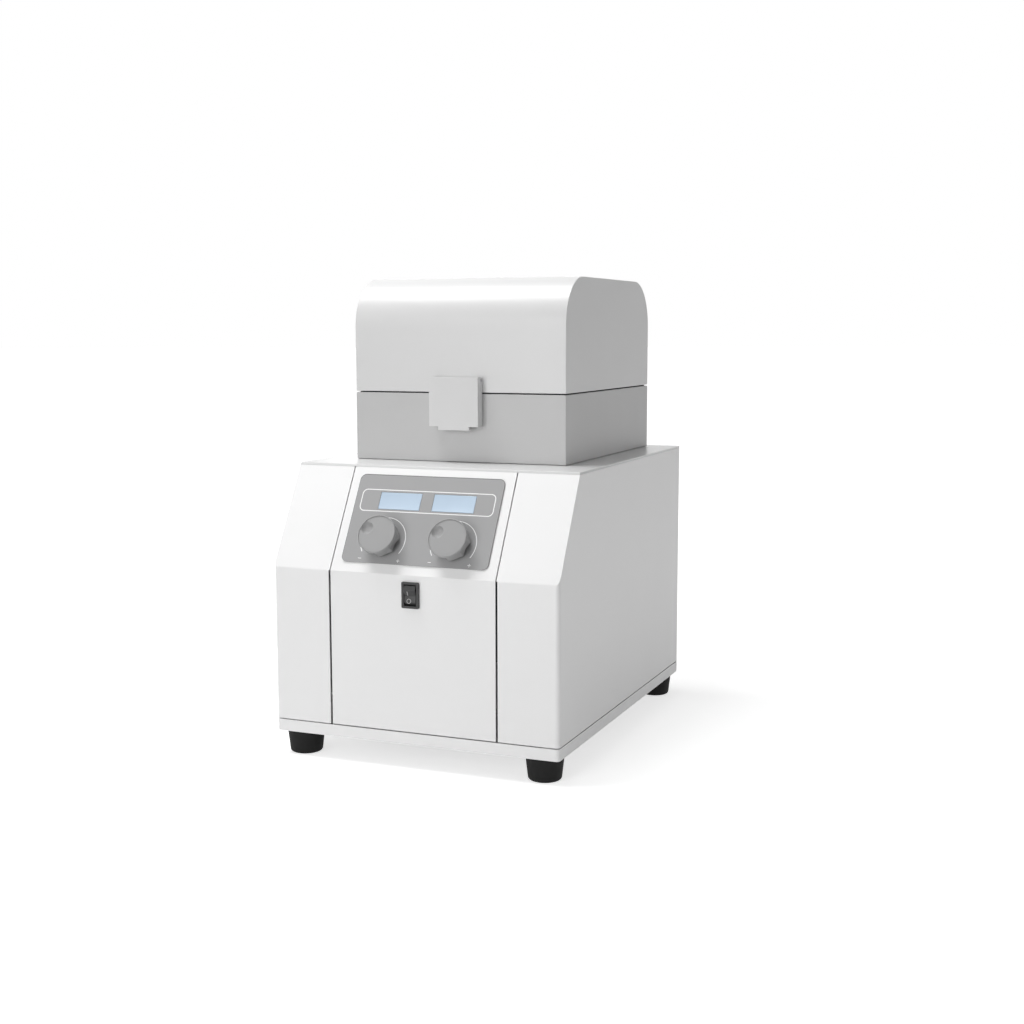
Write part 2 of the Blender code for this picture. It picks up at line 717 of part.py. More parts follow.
def front_panel(panel):
    path = [(FRONT, COVER_BOTTOM), (FRONT, KNEE), (slope_y(COVER_TOP), COVER_TOP)]
    sheet = bent_sheet("front_panel", path, SHEET, 2 * SEAM_X - SEAM)
    place(sheet, rotation=SIDEWAYS)
    switch_hole = flat_piece(
        "switch_cutout", [rectangle(SWITCH_BODY_WIDTH + 2 * GAP, SWITCH_BODY_HEIGHT + 2 * GAP)],
        2 * (SHEET + OVERRUN), CUTTERS,
    )
    place(switch_hole, (0, FRONT, SWITCH_LEVEL), UPRIGHT)
    cutters = [switch_hole]
    for side, mirror in SIDES:
        window = rectangle(DISPLAY_WIDTH, DISPLAY_HEIGHT, centre=(mirror * DISPLAY_SPREAD, DISPLAY_RISE))
        cutters.append(panel_cutter(f"{side}_window_cutout", window, panel))
        bush = circle(ENCODER_BUSH_RADIUS + GAP, centre=(mirror * KNOB_SPREAD, KNOB_RISE))
        cutters.append(panel_cutter(f"{side}_bush_cutout", bush, panel))
    return dress(cut(sheet, *cutters), WHITE_PAINT)


def rear_panel():
    centre_level = (COVER_BOTTOM + COVER_TOP) / 2
    loops = [
        rectangle(2 * SEAM_X - SEAM, COVER_TOP - COVER_BOTTOM),
        circle(FAN_BORE_RADIUS, ROUND_STEPS, (0, FAN_LEVEL - centre_level)),
        rectangle(
            INLET_BODY_WIDTH + 2 * GAP, INLET_BODY_HEIGHT + 2 * GAP,
            centre=(INLET_OFFSET, INLET_LEVEL - centre_level),
        ),
    ]
    sheet = flat_piece("rear_panel", loops, SHEET)
    place(sheet, (0, REAR - SHEET / 2, centre_level), UPRIGHT)
    return dress(sheet, WHITE_PAINT)


def top_plate():
    """The roof sheet, whose front edge leans with the slope below it."""
    centre_y = (ROOF_FRONT + REAR) / 2
    corners = [
        (-WIDTH / 2, ROOF_FRONT - centre_y),
        (WIDTH / 2, ROOF_FRONT - centre_y),
        (WIDTH / 2, REAR - centre_y),
        (-WIDTH / 2, REAR - centre_y),
    ]
    radii = [ROOF_CORNER, ROOF_CORNER, CORNER_RADIUS, CORNER_RADIUS]
    bore = circle(ROOF_BORE_RADIUS, ROUND_STEPS, (0, DRIVE_Y - centre_y))
    plate = flat_piece("top_plate", [rounded_polygon(corners, radii), bore], ROOF_SHEET)
    for vertex in plate.data.vertices:
        if vertex.co.z < 0 and vertex.co.y < ROOF_FRONT - centre_y + ROOF_CORNER + MERGE:
            vertex.co.y -= ROOF_FRONT - slope_y(ROOF - ROOF_SHEET)
    place(plate, (0, centre_y, ROOF - ROOF_SHEET / 2))
    return dress(plate, WHITE_PAINT)


def base_tray():
    """A shallow pan: the sheet's floor with upturned sides, vent slots and holes for the foot screws."""
    pan = flat_piece("base_tray", [rectangle(WIDTH, DEPTH, CORNER_RADIUS)], TRAY_HEIGHT)
    bm = bmesh.new()
    bm.from_mesh(pan.data)
    top_faces = [face for face in bm.faces if face.calc_center_median().z > TRAY_HEIGHT / 2 - MERGE]
    bmesh.ops.delete(bm, geom=top_faces, context="FACES")
    bm.to_mesh(pan.data)
    bm.free()
    shell = pan.modifiers.new("sheet", "SOLIDIFY")
    shell.thickness = SHEET
    shell.offset = -1
    shell.use_even_offset = True
    place(pan, (0, 0, TRAY_BOTTOM + TRAY_HEIGHT / 2))
    cutters = []
    for index in range(TRAY_SLOT_COUNT):
        offset = (index - (TRAY_SLOT_COUNT - 1) / 2) * TRAY_SLOT_PITCH
        slot = rectangle(TRAY_SLOT_LENGTH, TRAY_SLOT_WIDTH, centre=(0, offset))
        vent = flat_piece(f"tray_slot_{index}", [slot], 2 * (SHEET + OVERRUN), CUTTERS)
        cutters.append(place(vent, (0, FRONT / 2, TRAY_BOTTOM)))
    for name, x, y in foot_places():
        hole = rod(f"{name}_hole", FOOT_SCREW_HOLE_RADIUS, -OVERRUN, SHEET + OVERRUN, SIDE_STEPS, CUTTERS)
        cutters.append(place(hole, (x, y, TRAY_BOTTOM)))
    return dress(cut(pan, *cutters), WHITE_PAINT)


def foot_places():
    x = WIDTH / 2 - FOOT_SIDE_INSET
    y = DEPTH / 2 - FOOT_END_INSET
    for end, end_sign in (("front", -1), ("rear", 1)):
        for side, mirror in SIDES:
            yield f"{end}_{side}_foot", mirror * x, end_sign * y


def foot(name, x, y):
    top = FOOT_HEIGHT - GAP
    slant = (FOOT_TOP_RADIUS - FOOT_BOTTOM_RADIUS) / top
    profile = [(0, top), (FOOT_TOP_RADIUS, top)]
    for step in range(FOOT_EDGE_STEPS + 1):
        angle = QUARTER * step / FOOT_EDGE_STEPS
        level = FOOT_EDGE_RADIUS * (1 - math.sin(angle))
        reach = FOOT_BOTTOM_RADIUS + slant * level - FOOT_EDGE_RADIUS * (1 - math.cos(angle))
        profile.append((reach, level))
    profile += [(FOOT_RECESS_RADIUS, 0), (FOOT_RECESS_RADIUS, FOOT_RECESS_DEPTH), (0, FOOT_RECESS_DEPTH)]
    item = turned(name, profile, TURN_STEPS)
    return dress(place(item, (x, y, 0)), BLACK_RUBBER)


# Control panel

def control_overlay(panel):
    middle = OVERLAY_START + OVERLAY_HEIGHT / 2
    loops = [rectangle(OVERLAY_WIDTH, OVERLAY_HEIGHT, OVERLAY_RADIUS, (0, middle))]
    for _, mirror in SIDES:
        window = rectangle(DISPLAY_WIDTH, DISPLAY_HEIGHT, centre=(mirror * DISPLAY_SPREAD, DISPLAY_RISE))
        loops.append(window)
        loops.append(circle(ENCODER_BUSH_RADIUS + GAP, centre=(mirror * KNOB_SPREAD, KNOB_RISE)))
    overlay = flat_piece("control_overlay", loops, OVERLAY_THICKNESS)
    place(overlay, (0, 0, GAP + OVERLAY_THICKNESS / 2), parent=panel)
    return dress(overlay, OVERLAY_GREY)


def display(side, mirror, panel):
    """A display module: the window fills its cut-out, and a wider frame behind it bears on the sheet."""
    across, along = DISPLAY_WIDTH / 2 - GAP, DISPLAY_HEIGHT / 2 - GAP
    window = block(f"{side}_display", (-across, -along, MODULE_BOTTOM), (across, along, OVERLAY_FACE))
    wide, tall = across + DISPLAY_FLANGE, along + DISPLAY_FLANGE
    frame = block(f"{side}_display_frame", (-wide, -tall, MODULE_BOTTOM), (wide, tall, MODULE_TOP), CUTTERS)
    for item in (window, frame):
        place(item, (mirror * DISPLAY_SPREAD, DISPLAY_RISE, 0), parent=panel)
    return dress(join(window, frame), DISPLAY_BLUE)


def control_board(panel):
    middle = OVERLAY_START + OVERLAY_HEIGHT / 2
    loops = [rectangle(BOARD_WIDTH, BOARD_HEIGHT)]
    for x in (-1, 1):
        for y in (-1, 1):
            hole = (x * (BOARD_WIDTH / 2 - BOARD_HOLE_INSET), y * (BOARD_HEIGHT / 2 - BOARD_HOLE_INSET))
            loops.append(circle(BOARD_HOLE_RADIUS, SIDE_STEPS, hole))
    board = flat_piece("control_board", loops, BOARD_THICKNESS)
    place(board, (0, middle, BOARD_TOP - BOARD_THICKNESS / 2), parent=panel)
    return dress(board, BOARD_GREEN)


def encoder(side, mirror, panel):
    """Body with its bush, the rotor that the shaft turns, and the shaft, on the knob's own axis."""
    axis = axis_empty(f"{side}_knob_axis", (mirror * KNOB_SPREAD, KNOB_RISE, 0), parent=panel)
    half = ENCODER_SIDE / 2
    body = block(f"{side}_encoder_body", (-half, -half, MODULE_BOTTOM), (half, half, MODULE_TOP))
    bush = rod(f"{side}_encoder_bush", ENCODER_BUSH_RADIUS, MODULE_BOTTOM + GAP, ENCODER_BUSH_RISE,
               collection=CUTTERS)
    bore = rod(f"{side}_encoder_bore", ENCODER_SHAFT_RADIUS + GAP, MODULE_BOTTOM + ENCODER_WALL + GAP,
               ENCODER_BUSH_RISE + OVERRUN, collection=CUTTERS)
    room_floor = MODULE_BOTTOM + ENCODER_WALL
    room_top = room_floor + ROTOR_THICKNESS + 2 * GAP
    room = rod(f"{side}_encoder_room", ROTOR_RADIUS + GAP, room_floor, room_top, collection=CUTTERS)
    rotor = ring(f"{side}_encoder_rotor", ENCODER_SHAFT_RADIUS + GAP, ROTOR_RADIUS, room_floor + GAP,
                 room_top - GAP, SMALL_STEPS)
    shaft_foot = room_floor + GAP + KNOB_TRAVEL
    shaft = rod(f"{side}_encoder_shaft", ENCODER_SHAFT_RADIUS, shaft_foot, KNOB_FACE_RISE - KNOB_CAP)
    join(body, bush)
    cut(body, bore, room)
    for item in (body, bush, bore, room, rotor, shaft):
        place(item, parent=axis)
    dress(body, BLACK_PLASTIC)
    dress(rotor, BRASS)
    dress(shaft, ALUMINIUM)
    return axis


def knob(side, axis):
    """A cap on a skirt of hollow flutes, with a finger dimple, a shaft bore and a recess over the bush."""
    cap_foot = KNOB_FACE_RISE - KNOB_CAP
    profile = [
        (0, KNOB_FACE_RISE),
        (KNOB_RADIUS - KNOB_EDGE, KNOB_FACE_RISE),
        (KNOB_RADIUS, KNOB_FACE_RISE - KNOB_EDGE),
        (KNOB_RADIUS, cap_foot),
        (0, cap_foot),
    ]
    cap = turned(f"{side}_knob", profile, FINE_STEPS)
    outline = []
    for index in range(KNOB_FLUTES * FLUTE_STEPS):
        angle = KNOB_RIDGE_ANGLE + 2 * math.pi * index / (KNOB_FLUTES * FLUTE_STEPS)
        dip = abs(math.sin(math.pi * index / FLUTE_STEPS))
        reach = KNOB_SKIRT_RADIUS - KNOB_FLUTE_DEPTH * dip
        outline.append((reach * math.cos(angle), reach * math.sin(angle)))
    overlap = KNOB_CAP / 2
    skirt = flat_piece(f"{side}_knob_skirt", [outline], cap_foot - KNOB_FOOT_RISE + overlap, CUTTERS)
    recess = rod(f"{side}_knob_recess", KNOB_RECESS_RADIUS, KNOB_FOOT_RISE - OVERRUN, KNOB_RECESS_RISE,
                 collection=CUTTERS)
    bore = rod(f"{side}_knob_bore", ENCODER_SHAFT_RADIUS + GAP, KNOB_FOOT_RISE, cap_foot + GAP,
               collection=CUTTERS)
    bm = bmesh.new()
    dimple_radius = (KNOB_DIMPLE_RADIUS ** 2 + KNOB_DIMPLE_DEPTH ** 2) / (2 * KNOB_DIMPLE_DEPTH)
    bmesh.ops.create_uvsphere(bm, u_segments=SMALL_STEPS, v_segments=FINE_STEPS, radius=dimple_radius)
    dimple = finish_mesh(f"{side}_knob_dimple", bm, CUTTERS)
    place(skirt, (0, 0, (KNOB_FOOT_RISE + cap_foot + overlap) / 2), parent=axis)
    dimple_place = (
        KNOB_DIMPLE_REACH * math.cos(KNOB_DIMPLE_ANGLE),
        KNOB_DIMPLE_REACH * math.sin(KNOB_DIMPLE_ANGLE),
        KNOB_FACE_RISE + dimple_radius - KNOB_DIMPLE_DEPTH,
    )
    place(dimple, dimple_place, parent=axis)
    for item in (cap, recess, bore):
        place(item, parent=axis)
    join(cap, skirt)
    cut(cap, recess, bore, dimple)
    return dress(cap, KNOB_GREY)


# Rocker switch

def rocker_switch():
    """The bezel and body in one, and the rocker on its own axis, pressed at its lower end."""
    face = axis_empty("switch_face", (0, FRONT, SWITCH_LEVEL), UPRIGHT)
    outline = rectangle(SWITCH_WIDTH, SWITCH_HEIGHT, SWITCH_BEZEL / 2)
    bezel = flat_piece("switch_body", [outline], SWITCH_BEZEL)
    place(bezel, (0, 0, GAP + SWITCH_BEZEL / 2), parent=face)
    across, along = SWITCH_BODY_WIDTH / 2, SWITCH_BODY_HEIGHT / 2
    body = block("switch_barrel", (-across, -along, -SWITCH_BODY_DEPTH),
                 (across, along, GAP + SWITCH_BEZEL / 2), CUTTERS)
    front = GAP + SWITCH_BEZEL
    across, along = SWITCH_POCKET_WIDTH / 2, SWITCH_POCKET_HEIGHT / 2
    pocket = block("switch_pocket", (-across, -along, front - SWITCH_POCKET_DEPTH),
                   (across, along, front + OVERRUN), CUTTERS)
    for item in (body, pocket):
        place(item, parent=face)
    join(bezel, body)
    cut(bezel, pocket)
    dress(bezel, SWITCH_BLACK)

    pivot = axis_empty("rocker_axis", (0, 0, front - ROCKER_PIVOT_DEPTH), (ROCKER_TILT, 0, 0), face)
    tip = ROCKER_PIVOT_DEPTH + ROCKER_TIP_RISE
    valley = ROCKER_PIVOT_DEPTH - ROCKER_VALLEY
    turns = [ROCKER_END_TURN * (2 * step / ROCKER_END_STEPS - 1) for step in range(ROCKER_END_STEPS + 1)]
    end = [(ROCKER_END_RADIUS * math.cos(turn), ROCKER_END_RADIUS * math.sin(turn)) for turn in turns]
    outline = [*end, (ROCKER_TIP, tip), (0, valley), (-ROCKER_TIP, tip)]
    outline += [(-along, out) for along, out in reversed(end)]
    rocker = flat_piece("switch_rocker", [outline], SWITCH_POCKET_WIDTH - 2 * GAP)
    place(rocker, rotation=SIDEWAYS, parent=pivot)
    return dress(rocker, SWITCH_BLACK)


# Chamber

def chamber_body():
    half = CHAMBER_WIDTH / 2
    body = block("chamber_body", (-half, CHAMBER_FRONT, CHAMBER_BOTTOM), (half, CHAMBER_REAR, CHAMBER_TOP))
    wall = CHAMBER_WALL
    room = block("chamber_room", (-half + wall, CHAMBER_FRONT + wall, CHAMBER_FLOOR),
                 (half - wall, CHAMBER_REAR - wall, CHAMBER_TOP + OVERRUN), CUTTERS)
    lip = wall - REBATE_WIDTH
    rebate = block("chamber_rebate", (-half + lip, CHAMBER_FRONT + lip, CHAMBER_TOP - REBATE_DEPTH),
                   (half - lip, CHAMBER_REAR - lip, CHAMBER_TOP + OVERRUN), CUTTERS)
    bore = rod("chamber_bore", CHAMBER_BORE_RADIUS, CHAMBER_BOTTOM - OVERRUN, CHAMBER_FLOOR + OVERRUN,
               ROUND_STEPS, CUTTERS)
    place(bore, (0, DRIVE_Y, 0))
    return dress(cut(body, room, rebate, bore), CHAMBER_PAINT)


def lid_gasket():
    """A square-section ring in the chamber's rebate, just under the lid's rim."""
    inset = CHAMBER_WALL - REBATE_WIDTH + GAP
    width, depth = CHAMBER_WIDTH - 2 * inset, CHAMBER_DEPTH - 2 * inset
    band = REBATE_WIDTH - GAP
    loops = [rectangle(width, depth), rectangle(width - 2 * band, depth - 2 * band)]
    bottom, top = CHAMBER_TOP - REBATE_DEPTH + GAP, LID_BOTTOM - GAP
    gasket = flat_piece("lid_gasket", loops, top - bottom)
    place(gasket, (0, DRIVE_Y, (bottom + top) / 2))
    return dress(gasket, BLACK_RUBBER)


def lid_shell(axis):
    """A shell with rounded top corners at the front and the back, and flat ends."""
    corners = [
        (CHAMBER_FRONT, LID_BOTTOM),
        (CHAMBER_REAR, LID_BOTTOM),
        (CHAMBER_REAR, LID_TOP),
        (CHAMBER_FRONT, LID_TOP),
    ]
    outline = rounded_polygon(corners, [0, 0, LID_RADIUS, LID_RADIUS], LID_CORNER_STEPS)
    lid = flat_piece("lid_shell", [outline], CHAMBER_WIDTH)
    inner_corners = [
        (CHAMBER_FRONT + LID_WALL, LID_BOTTOM - OVERRUN),
        (CHAMBER_REAR - LID_WALL, LID_BOTTOM - OVERRUN),
        (CHAMBER_REAR - LID_WALL, LID_TOP - LID_WALL),
        (CHAMBER_FRONT + LID_WALL, LID_TOP - LID_WALL),
    ]
    inner_radius = LID_RADIUS - LID_WALL
    inner = rounded_polygon(inner_corners, [0, 0, inner_radius, inner_radius], LID_CORNER_STEPS)
    room = flat_piece("lid_room", [inner], CHAMBER_WIDTH - 2 * LID_WALL, CUTTERS)
    for item in (lid, room):
        place(item, rotation=SIDEWAYS)
    carry(axis, lid)
    return round_shading(dress(cut(lid, room), CHAMBER_PAINT))


# Lid hinges

def hinge(side, mirror, axis):
    """Two leaves whose knuckles share one pin; the lower leaf has the outer knuckles."""
    centre_x = mirror * HINGE_SPREAD
    length = HINGE_WIDTH / HINGE_KNUCKLES
    leaf_front = CHAMBER_REAR + GAP
    reach = HINGE_BARREL_RADIUS + GAP
    made = {}
    for name, sign, knuckles in (("lower", -1, (-1, 1)), ("upper", 1, (0,))):
        near = SEAM_LEVEL + sign * reach
        far = SEAM_LEVEL + sign * (reach + HINGE_LEAF_HEIGHT)
        leaf = block(
            f"{side}_hinge_{name}_leaf",
            (centre_x - HINGE_WIDTH / 2, leaf_front, min(near, far)),
            (centre_x + HINGE_WIDTH / 2, leaf_front + HINGE_LEAF, max(near, far)),
        )
        for index in knuckles:
            low = centre_x + length * (index - 1 / 2) + GAP / 2
            high = low + length - GAP
            rim = near + sign * OVERRUN
            tab = block(f"{side}_{name}_tab_{index}", (low, leaf_front, min(SEAM_LEVEL, rim)),
                        (high, leaf_front + HINGE_LEAF, max(SEAM_LEVEL, rim)), CUTTERS)
            knuckle = rod(f"{side}_{name}_knuckle_{index}", HINGE_BARREL_RADIUS, low, high,
                          collection=CUTTERS)
            place(knuckle, (0, HINGE_Y, SEAM_LEVEL), SIDEWAYS)
            join(leaf, tab, knuckle)
        bore = rod(f"{side}_{name}_bore", HINGE_PIN_RADIUS + GAP, centre_x - HINGE_WIDTH,
                   centre_x + HINGE_WIDTH, collection=CUTTERS)
        place(bore, (0, HINGE_Y, SEAM_LEVEL), SIDEWAYS)
        made[name] = dress(cut(leaf, bore), CHAMBER_PAINT)
    pin = rod(f"{side}_hinge_pin", HINGE_PIN_RADIUS, centre_x - HINGE_WIDTH / 2, centre_x + HINGE_WIDTH / 2)
    dress(place(pin, (0, HINGE_Y, SEAM_LEVEL), SIDEWAYS), STEEL)
    carry(axis, made["upper"])


# Latch

def latch(lid_axis, lever_axis):
    half = LATCH_WIDTH / 2
    bracket_outline = rounded_polygon(
        [
            (CHAMBER_FRONT - GAP, LATCH_PIN_Z - BRACKET_DROP),
            (CHAMBER_FRONT - GAP, LATCH_TOP - GAP),
            (LATCH_PIN_Y - BRACKET_NOSE, LATCH_TOP - GAP),
            (LATCH_PIN_Y - BRACKET_NOSE, LATCH_PIN_Z - BRACKET_DROP),
        ],
        [0, 0, BRACKET_NOSE - GAP, 0],
    )
    bracket = flat_piece("latch_bracket", [bracket_outline], BRACKET_WIDTH)
    bore = rod("latch_bracket_bore", LATCH_PIN_RADIUS + GAP, -half, half, collection=CUTTERS)
    pin = rod("latch_pin", LATCH_PIN_RADIUS, -half + GAP, half - GAP)
    for item in (bore, pin):
        place(item, (0, LATCH_PIN_Y, LATCH_PIN_Z), SIDEWAYS)
    place(bracket, rotation=SIDEWAYS)
    dress(cut(bracket, bore), LATCH_PLASTIC)
    dress(pin, STEEL)

    back = LATCH_PIN_Y + LATCH_BACK_RADIUS
    side_outline = rounded_polygon(
        [
            (LATCH_FRONT, LATCH_BOTTOM),
            (back, LATCH_BOTTOM),
            (back, LATCH_TOP),
            (LATCH_FRONT, LATCH_TOP),
        ],
        [0, 0, LATCH_BACK_RADIUS, 0],
    )
    lever = flat_piece("latch_lever", [side_outline], LATCH_WIDTH)
    room = block("latch_room", (-half + LATCH_WALL, LATCH_FRONT + LATCH_WALL, LATCH_BOTTOM - OVERRUN),
                 (half - LATCH_WALL, CHAMBER_FRONT, LATCH_TOP + OVERRUN), CUTTERS)
    tab_half = LATCH_TAB_WIDTH / 2
    tab = block("latch_tab", (-tab_half, LATCH_FRONT, LATCH_BOTTOM - LATCH_TAB_HEIGHT),
                (tab_half, LATCH_FRONT + LATCH_WALL, LATCH_BOTTOM + OVERRUN), CUTTERS)
    strike_top = SEAM_LEVEL - STRIKE_DROP
    strike_front = CHAMBER_FRONT - GAP - STRIKE_DEPTH
    rib_level = strike_top - STRIKE_HEIGHT / 2
    rib_half = CATCH_RIB_HEIGHT / 2
    rib = block("latch_rib", (-STRIKE_WIDTH / 2, LATCH_FRONT + LATCH_WALL / 2, rib_level - rib_half),
                (STRIKE_WIDTH / 2, strike_front - GAP, rib_level + rib_half), CUTTERS)
    lever_bore = rod("latch_lever_bore", LATCH_PIN_RADIUS + GAP, -half - OVERRUN, half + OVERRUN,
                     collection=CUTTERS)
    place(lever_bore, (0, LATCH_PIN_Y, LATCH_PIN_Z), SIDEWAYS)
    place(lever, rotation=SIDEWAYS)
    cut(lever, room, lever_bore)
    join(lever, tab, rib)
    dress(lever, LATCH_PLASTIC)

    strike = block("latch_strike", (-STRIKE_WIDTH / 2, strike_front, strike_top - STRIKE_HEIGHT),
                   (STRIKE_WIDTH / 2, CHAMBER_FRONT - GAP, strike_top))
    dress(strike, ZINC_PLATE)
    carry(lid_axis, bracket, pin)
    carry(lever_axis, lever)


# Drive

def drive_stand():
    """A bridge of bent sheet that carries the motor below its top and the spindle housing above it."""
    path = [
        (-STAND_HALF_SPAN - STAND_FOOT, STAND_BOTTOM),
        (-STAND_HALF_SPAN, STAND_BOTTOM),
        (-STAND_HALF_SPAN, STAND_TOP - STAND_SHEET),
        (STAND_HALF_SPAN, STAND_TOP - STAND_SHEET),
        (STAND_HALF_SPAN, STAND_BOTTOM),
        (STAND_HALF_SPAN + STAND_FOOT, STAND_BOTTOM),
    ]
    stand = bent_sheet("drive_stand", path, -STAND_SHEET, STAND_DEPTH)
    place(stand, (0, DRIVE_Y, 0), UPRIGHT)
    bore = rod("stand_bore", STAND_BORE_RADIUS, STAND_TOP - STAND_SHEET - OVERRUN, STAND_TOP + OVERRUN,
               ROUND_STEPS, CUTTERS)
    place(bore, (0, DRIVE_Y, 0))
    return dress(cut(stand, bore), ZINC_PLATE)


def motor():
    """A can with cooling grooves and a bore for the shaft that it turns."""
    bore_floor = MOTOR_TOP - MOTOR_BORE_DEPTH
    bore_radius = SHAFT_RADIUS + GAP
    profile = [(0, bore_floor), (bore_radius, bore_floor), (bore_radius, MOTOR_TOP)]
    profile.append((MOTOR_RADIUS, MOTOR_TOP))
    inner = MOTOR_RADIUS - MOTOR_GROOVE_DEPTH
    first = (MOTOR_TOP + MOTOR_BOTTOM + (MOTOR_GROOVES - 1) * MOTOR_PITCH) / 2
    for index in range(MOTOR_GROOVES):
        top = first - index * MOTOR_PITCH + MOTOR_GROOVE_WIDTH / 2
        low = top - MOTOR_GROOVE_WIDTH
        profile += [(MOTOR_RADIUS, top), (inner, top), (inner, low), (MOTOR_RADIUS, low)]
    profile += [(MOTOR_RADIUS, MOTOR_BOTTOM), (0, MOTOR_BOTTOM)]
    body = turned("motor_body", profile, TURN_STEPS)
    return dress(place(body, (0, DRIVE_Y, 0)), DARK_STEEL)


def motor_shaft():
    low = MOTOR_TOP - MOTOR_BORE_DEPTH + GAP
    shaft = rod("motor_shaft", SHAFT_RADIUS, low, SPINDLE_BASE + SHAFT_RISE, ROUND_STEPS)
    return dress(place(shaft, (0, DRIVE_Y, 0)), STEEL)


def shaft_coupling():
    """A clamp sleeve over both shaft ends, slit down one side."""
    low = SPINDLE_BASE + COUPLING_RISE
    high = low + COUPLING_LENGTH
    sleeve = ring("shaft_coupling", SHAFT_RADIUS + GAP, COUPLING_RADIUS, low, high)
    slit = block("coupling_slit", (0, -COUPLING_SLIT / 2, low - OVERRUN),
                 (COUPLING_RADIUS + OVERRUN, COUPLING_SLIT / 2, high + OVERRUN), CUTTERS)
    for item in (sleeve, slit):
        place(item, (0, DRIVE_Y, 0))
    return dress(cut(sleeve, slit), ALUMINIUM)


def spindle_housing():
    """A flanged tube on the stand, through the roof and the chamber floor, with a lip over the bearings."""
    flange_top = SPINDLE_BASE + HOUSING_FLANGE
    inner = BEARING_RADIUS + GAP
    profile = [
        (HOUSING_TUBE_RADIUS, HOUSING_TOP),
        (HOUSING_TUBE_RADIUS, flange_top),
        (HOUSING_FLANGE_RADIUS, flange_top),
        (HOUSING_FLANGE_RADIUS, SPINDLE_BASE),
        (inner, SPINDLE_BASE),
        (inner, HOUSING_TOP - HOUSING_LIP),
        (HOUSING_LIP_RADIUS, HOUSING_TOP - HOUSING_LIP),
        (HOUSING_LIP_RADIUS, HOUSING_TOP),
    ]
    housing = turned("spindle_housing", profile, closed=True)
    return dress(place(housing, (0, DRIVE_Y, 0)), ALUMINIUM)


def bearing(name, inner, outer, low, width):
    """A sealed ball bearing: two races with a sunken shield between them on each face."""
    high = low + width
    race = (outer - inner) * BEARING_RACE_SHARE
    profile = [(outer, high), (outer, low)]
    profile += [(outer - race, low), (outer - race, low + BEARING_FACE_DEPTH)]
    profile += [(inner + race, low + BEARING_FACE_DEPTH), (inner + race, low), (inner, low)]
    profile += [(inner, high), (inner + race, high), (inner + race, high - BEARING_FACE_DEPTH)]
    profile += [(outer - race, high - BEARING_FACE_DEPTH), (outer - race, high)]
    return dress(turned(name, profile, BEARING_STEPS, closed=True), STEEL)


def spindle_bearings():
    for name, rise in (("lower_bearing", LOWER_BEARING_RISE), ("upper_bearing", UPPER_BEARING_RISE)):
        item = bearing(name, SPINDLE_RADIUS + GAP, BEARING_RADIUS, SPINDLE_BASE + rise, BEARING_WIDTH)
        place(item, (0, DRIVE_Y, 0))


def spindle():
    """Stepped shaft: necks at both ends, and a shoulder between the two bearings."""
    foot = SPINDLE_BASE + SHAFT_RISE + GAP
    lower_neck = SPINDLE_BASE + COUPLING_RISE + COUPLING_LENGTH + GAP
    shoulder_low = SPINDLE_BASE + LOWER_BEARING_RISE + BEARING_WIDTH + GAP
    shoulder_high = SPINDLE_BASE + UPPER_BEARING_RISE - GAP
    top_neck = HOUSING_TOP + GAP
    tip = HUB_FLANGE_BOTTOM + HUB_BORE_DEPTH - GAP
    profile = [
        (0, tip),
        (SHAFT_RADIUS, tip),
        (SHAFT_RADIUS, top_neck),
        (SPINDLE_RADIUS, top_neck),
        (SPINDLE_RADIUS, shoulder_high),
        (SPINDLE_SHOULDER_RADIUS, shoulder_high),
        (SPINDLE_SHOULDER_RADIUS, shoulder_low),
        (SPINDLE_RADIUS, shoulder_low),
        (SPINDLE_RADIUS, lower_neck),
        (SHAFT_RADIUS, lower_neck),
        (SHAFT_RADIUS, foot),
        (0, foot),
    ]
    return dress(place(turned("spindle", profile, TURN_STEPS), (0, DRIVE_Y, 0)), STEEL)


def floor_seal():
    """A rubber collar that closes the gap between the chamber floor and the spindle housing."""
    inner = HOUSING_TUBE_RADIUS + GAP
    low = CHAMBER_FLOOR + GAP
    profile = [
        (inner + SEAL_WALL, low + SEAL_HEIGHT),
        (inner + 2 * SEAL_WALL, low + SEAL_HEIGHT / 2),
        (inner + 2 * SEAL_WALL, low + SEAL_WALL),
        (SEAL_RADIUS, low + SEAL_WALL),
        (SEAL_RADIUS, low),
        (inner, low),
        (inner, low + SEAL_HEIGHT),
    ]
    seal = turned("floor_seal", profile, closed=True)
    return dress(place(seal, (0, DRIVE_Y, 0)), BLACK_RUBBER)


# Rocking head

def inclined_hub():
    """A level flange on the spindle, and a journal whose axis leans from it."""
    hub = rod("inclined_hub", HUB_FLANGE_RADIUS, HUB_FLANGE_BOTTOM, HUB_FLANGE_BOTTOM + HUB_FLANGE,
              ROUND_STEPS)
    half = HEAD_BEARING_WIDTH / 2
    foot = -(HEAD_LEVEL - HUB_FLANGE_BOTTOM - HUB_FLANGE / 2)
    profile = [
        (0, half + GAP),
        (JOURNAL_RADIUS, half + GAP),
        (JOURNAL_RADIUS, -half - GAP),
        (JOURNAL_SHOULDER_RADIUS, -half - GAP),
        (JOURNAL_SHOULDER_RADIUS, foot),
        (0, foot),
    ]
    journal = turned("hub_journal", profile, collection=CUTTERS)
    place(journal, (0, DRIVE_Y, HEAD_LEVEL), (HEAD_TILT, 0, 0))
    bore = rod("hub_bore", SHAFT_RADIUS + GAP, HUB_FLANGE_BOTTOM - OVERRUN,
               HUB_FLANGE_BOTTOM + HUB_BORE_DEPTH, TURN_STEPS, CUTTERS)
    for item in (hub, bore):
        place(item, (0, DRIVE_Y, 0))
    return dress(cut(join(hub, journal), bore), STEEL)


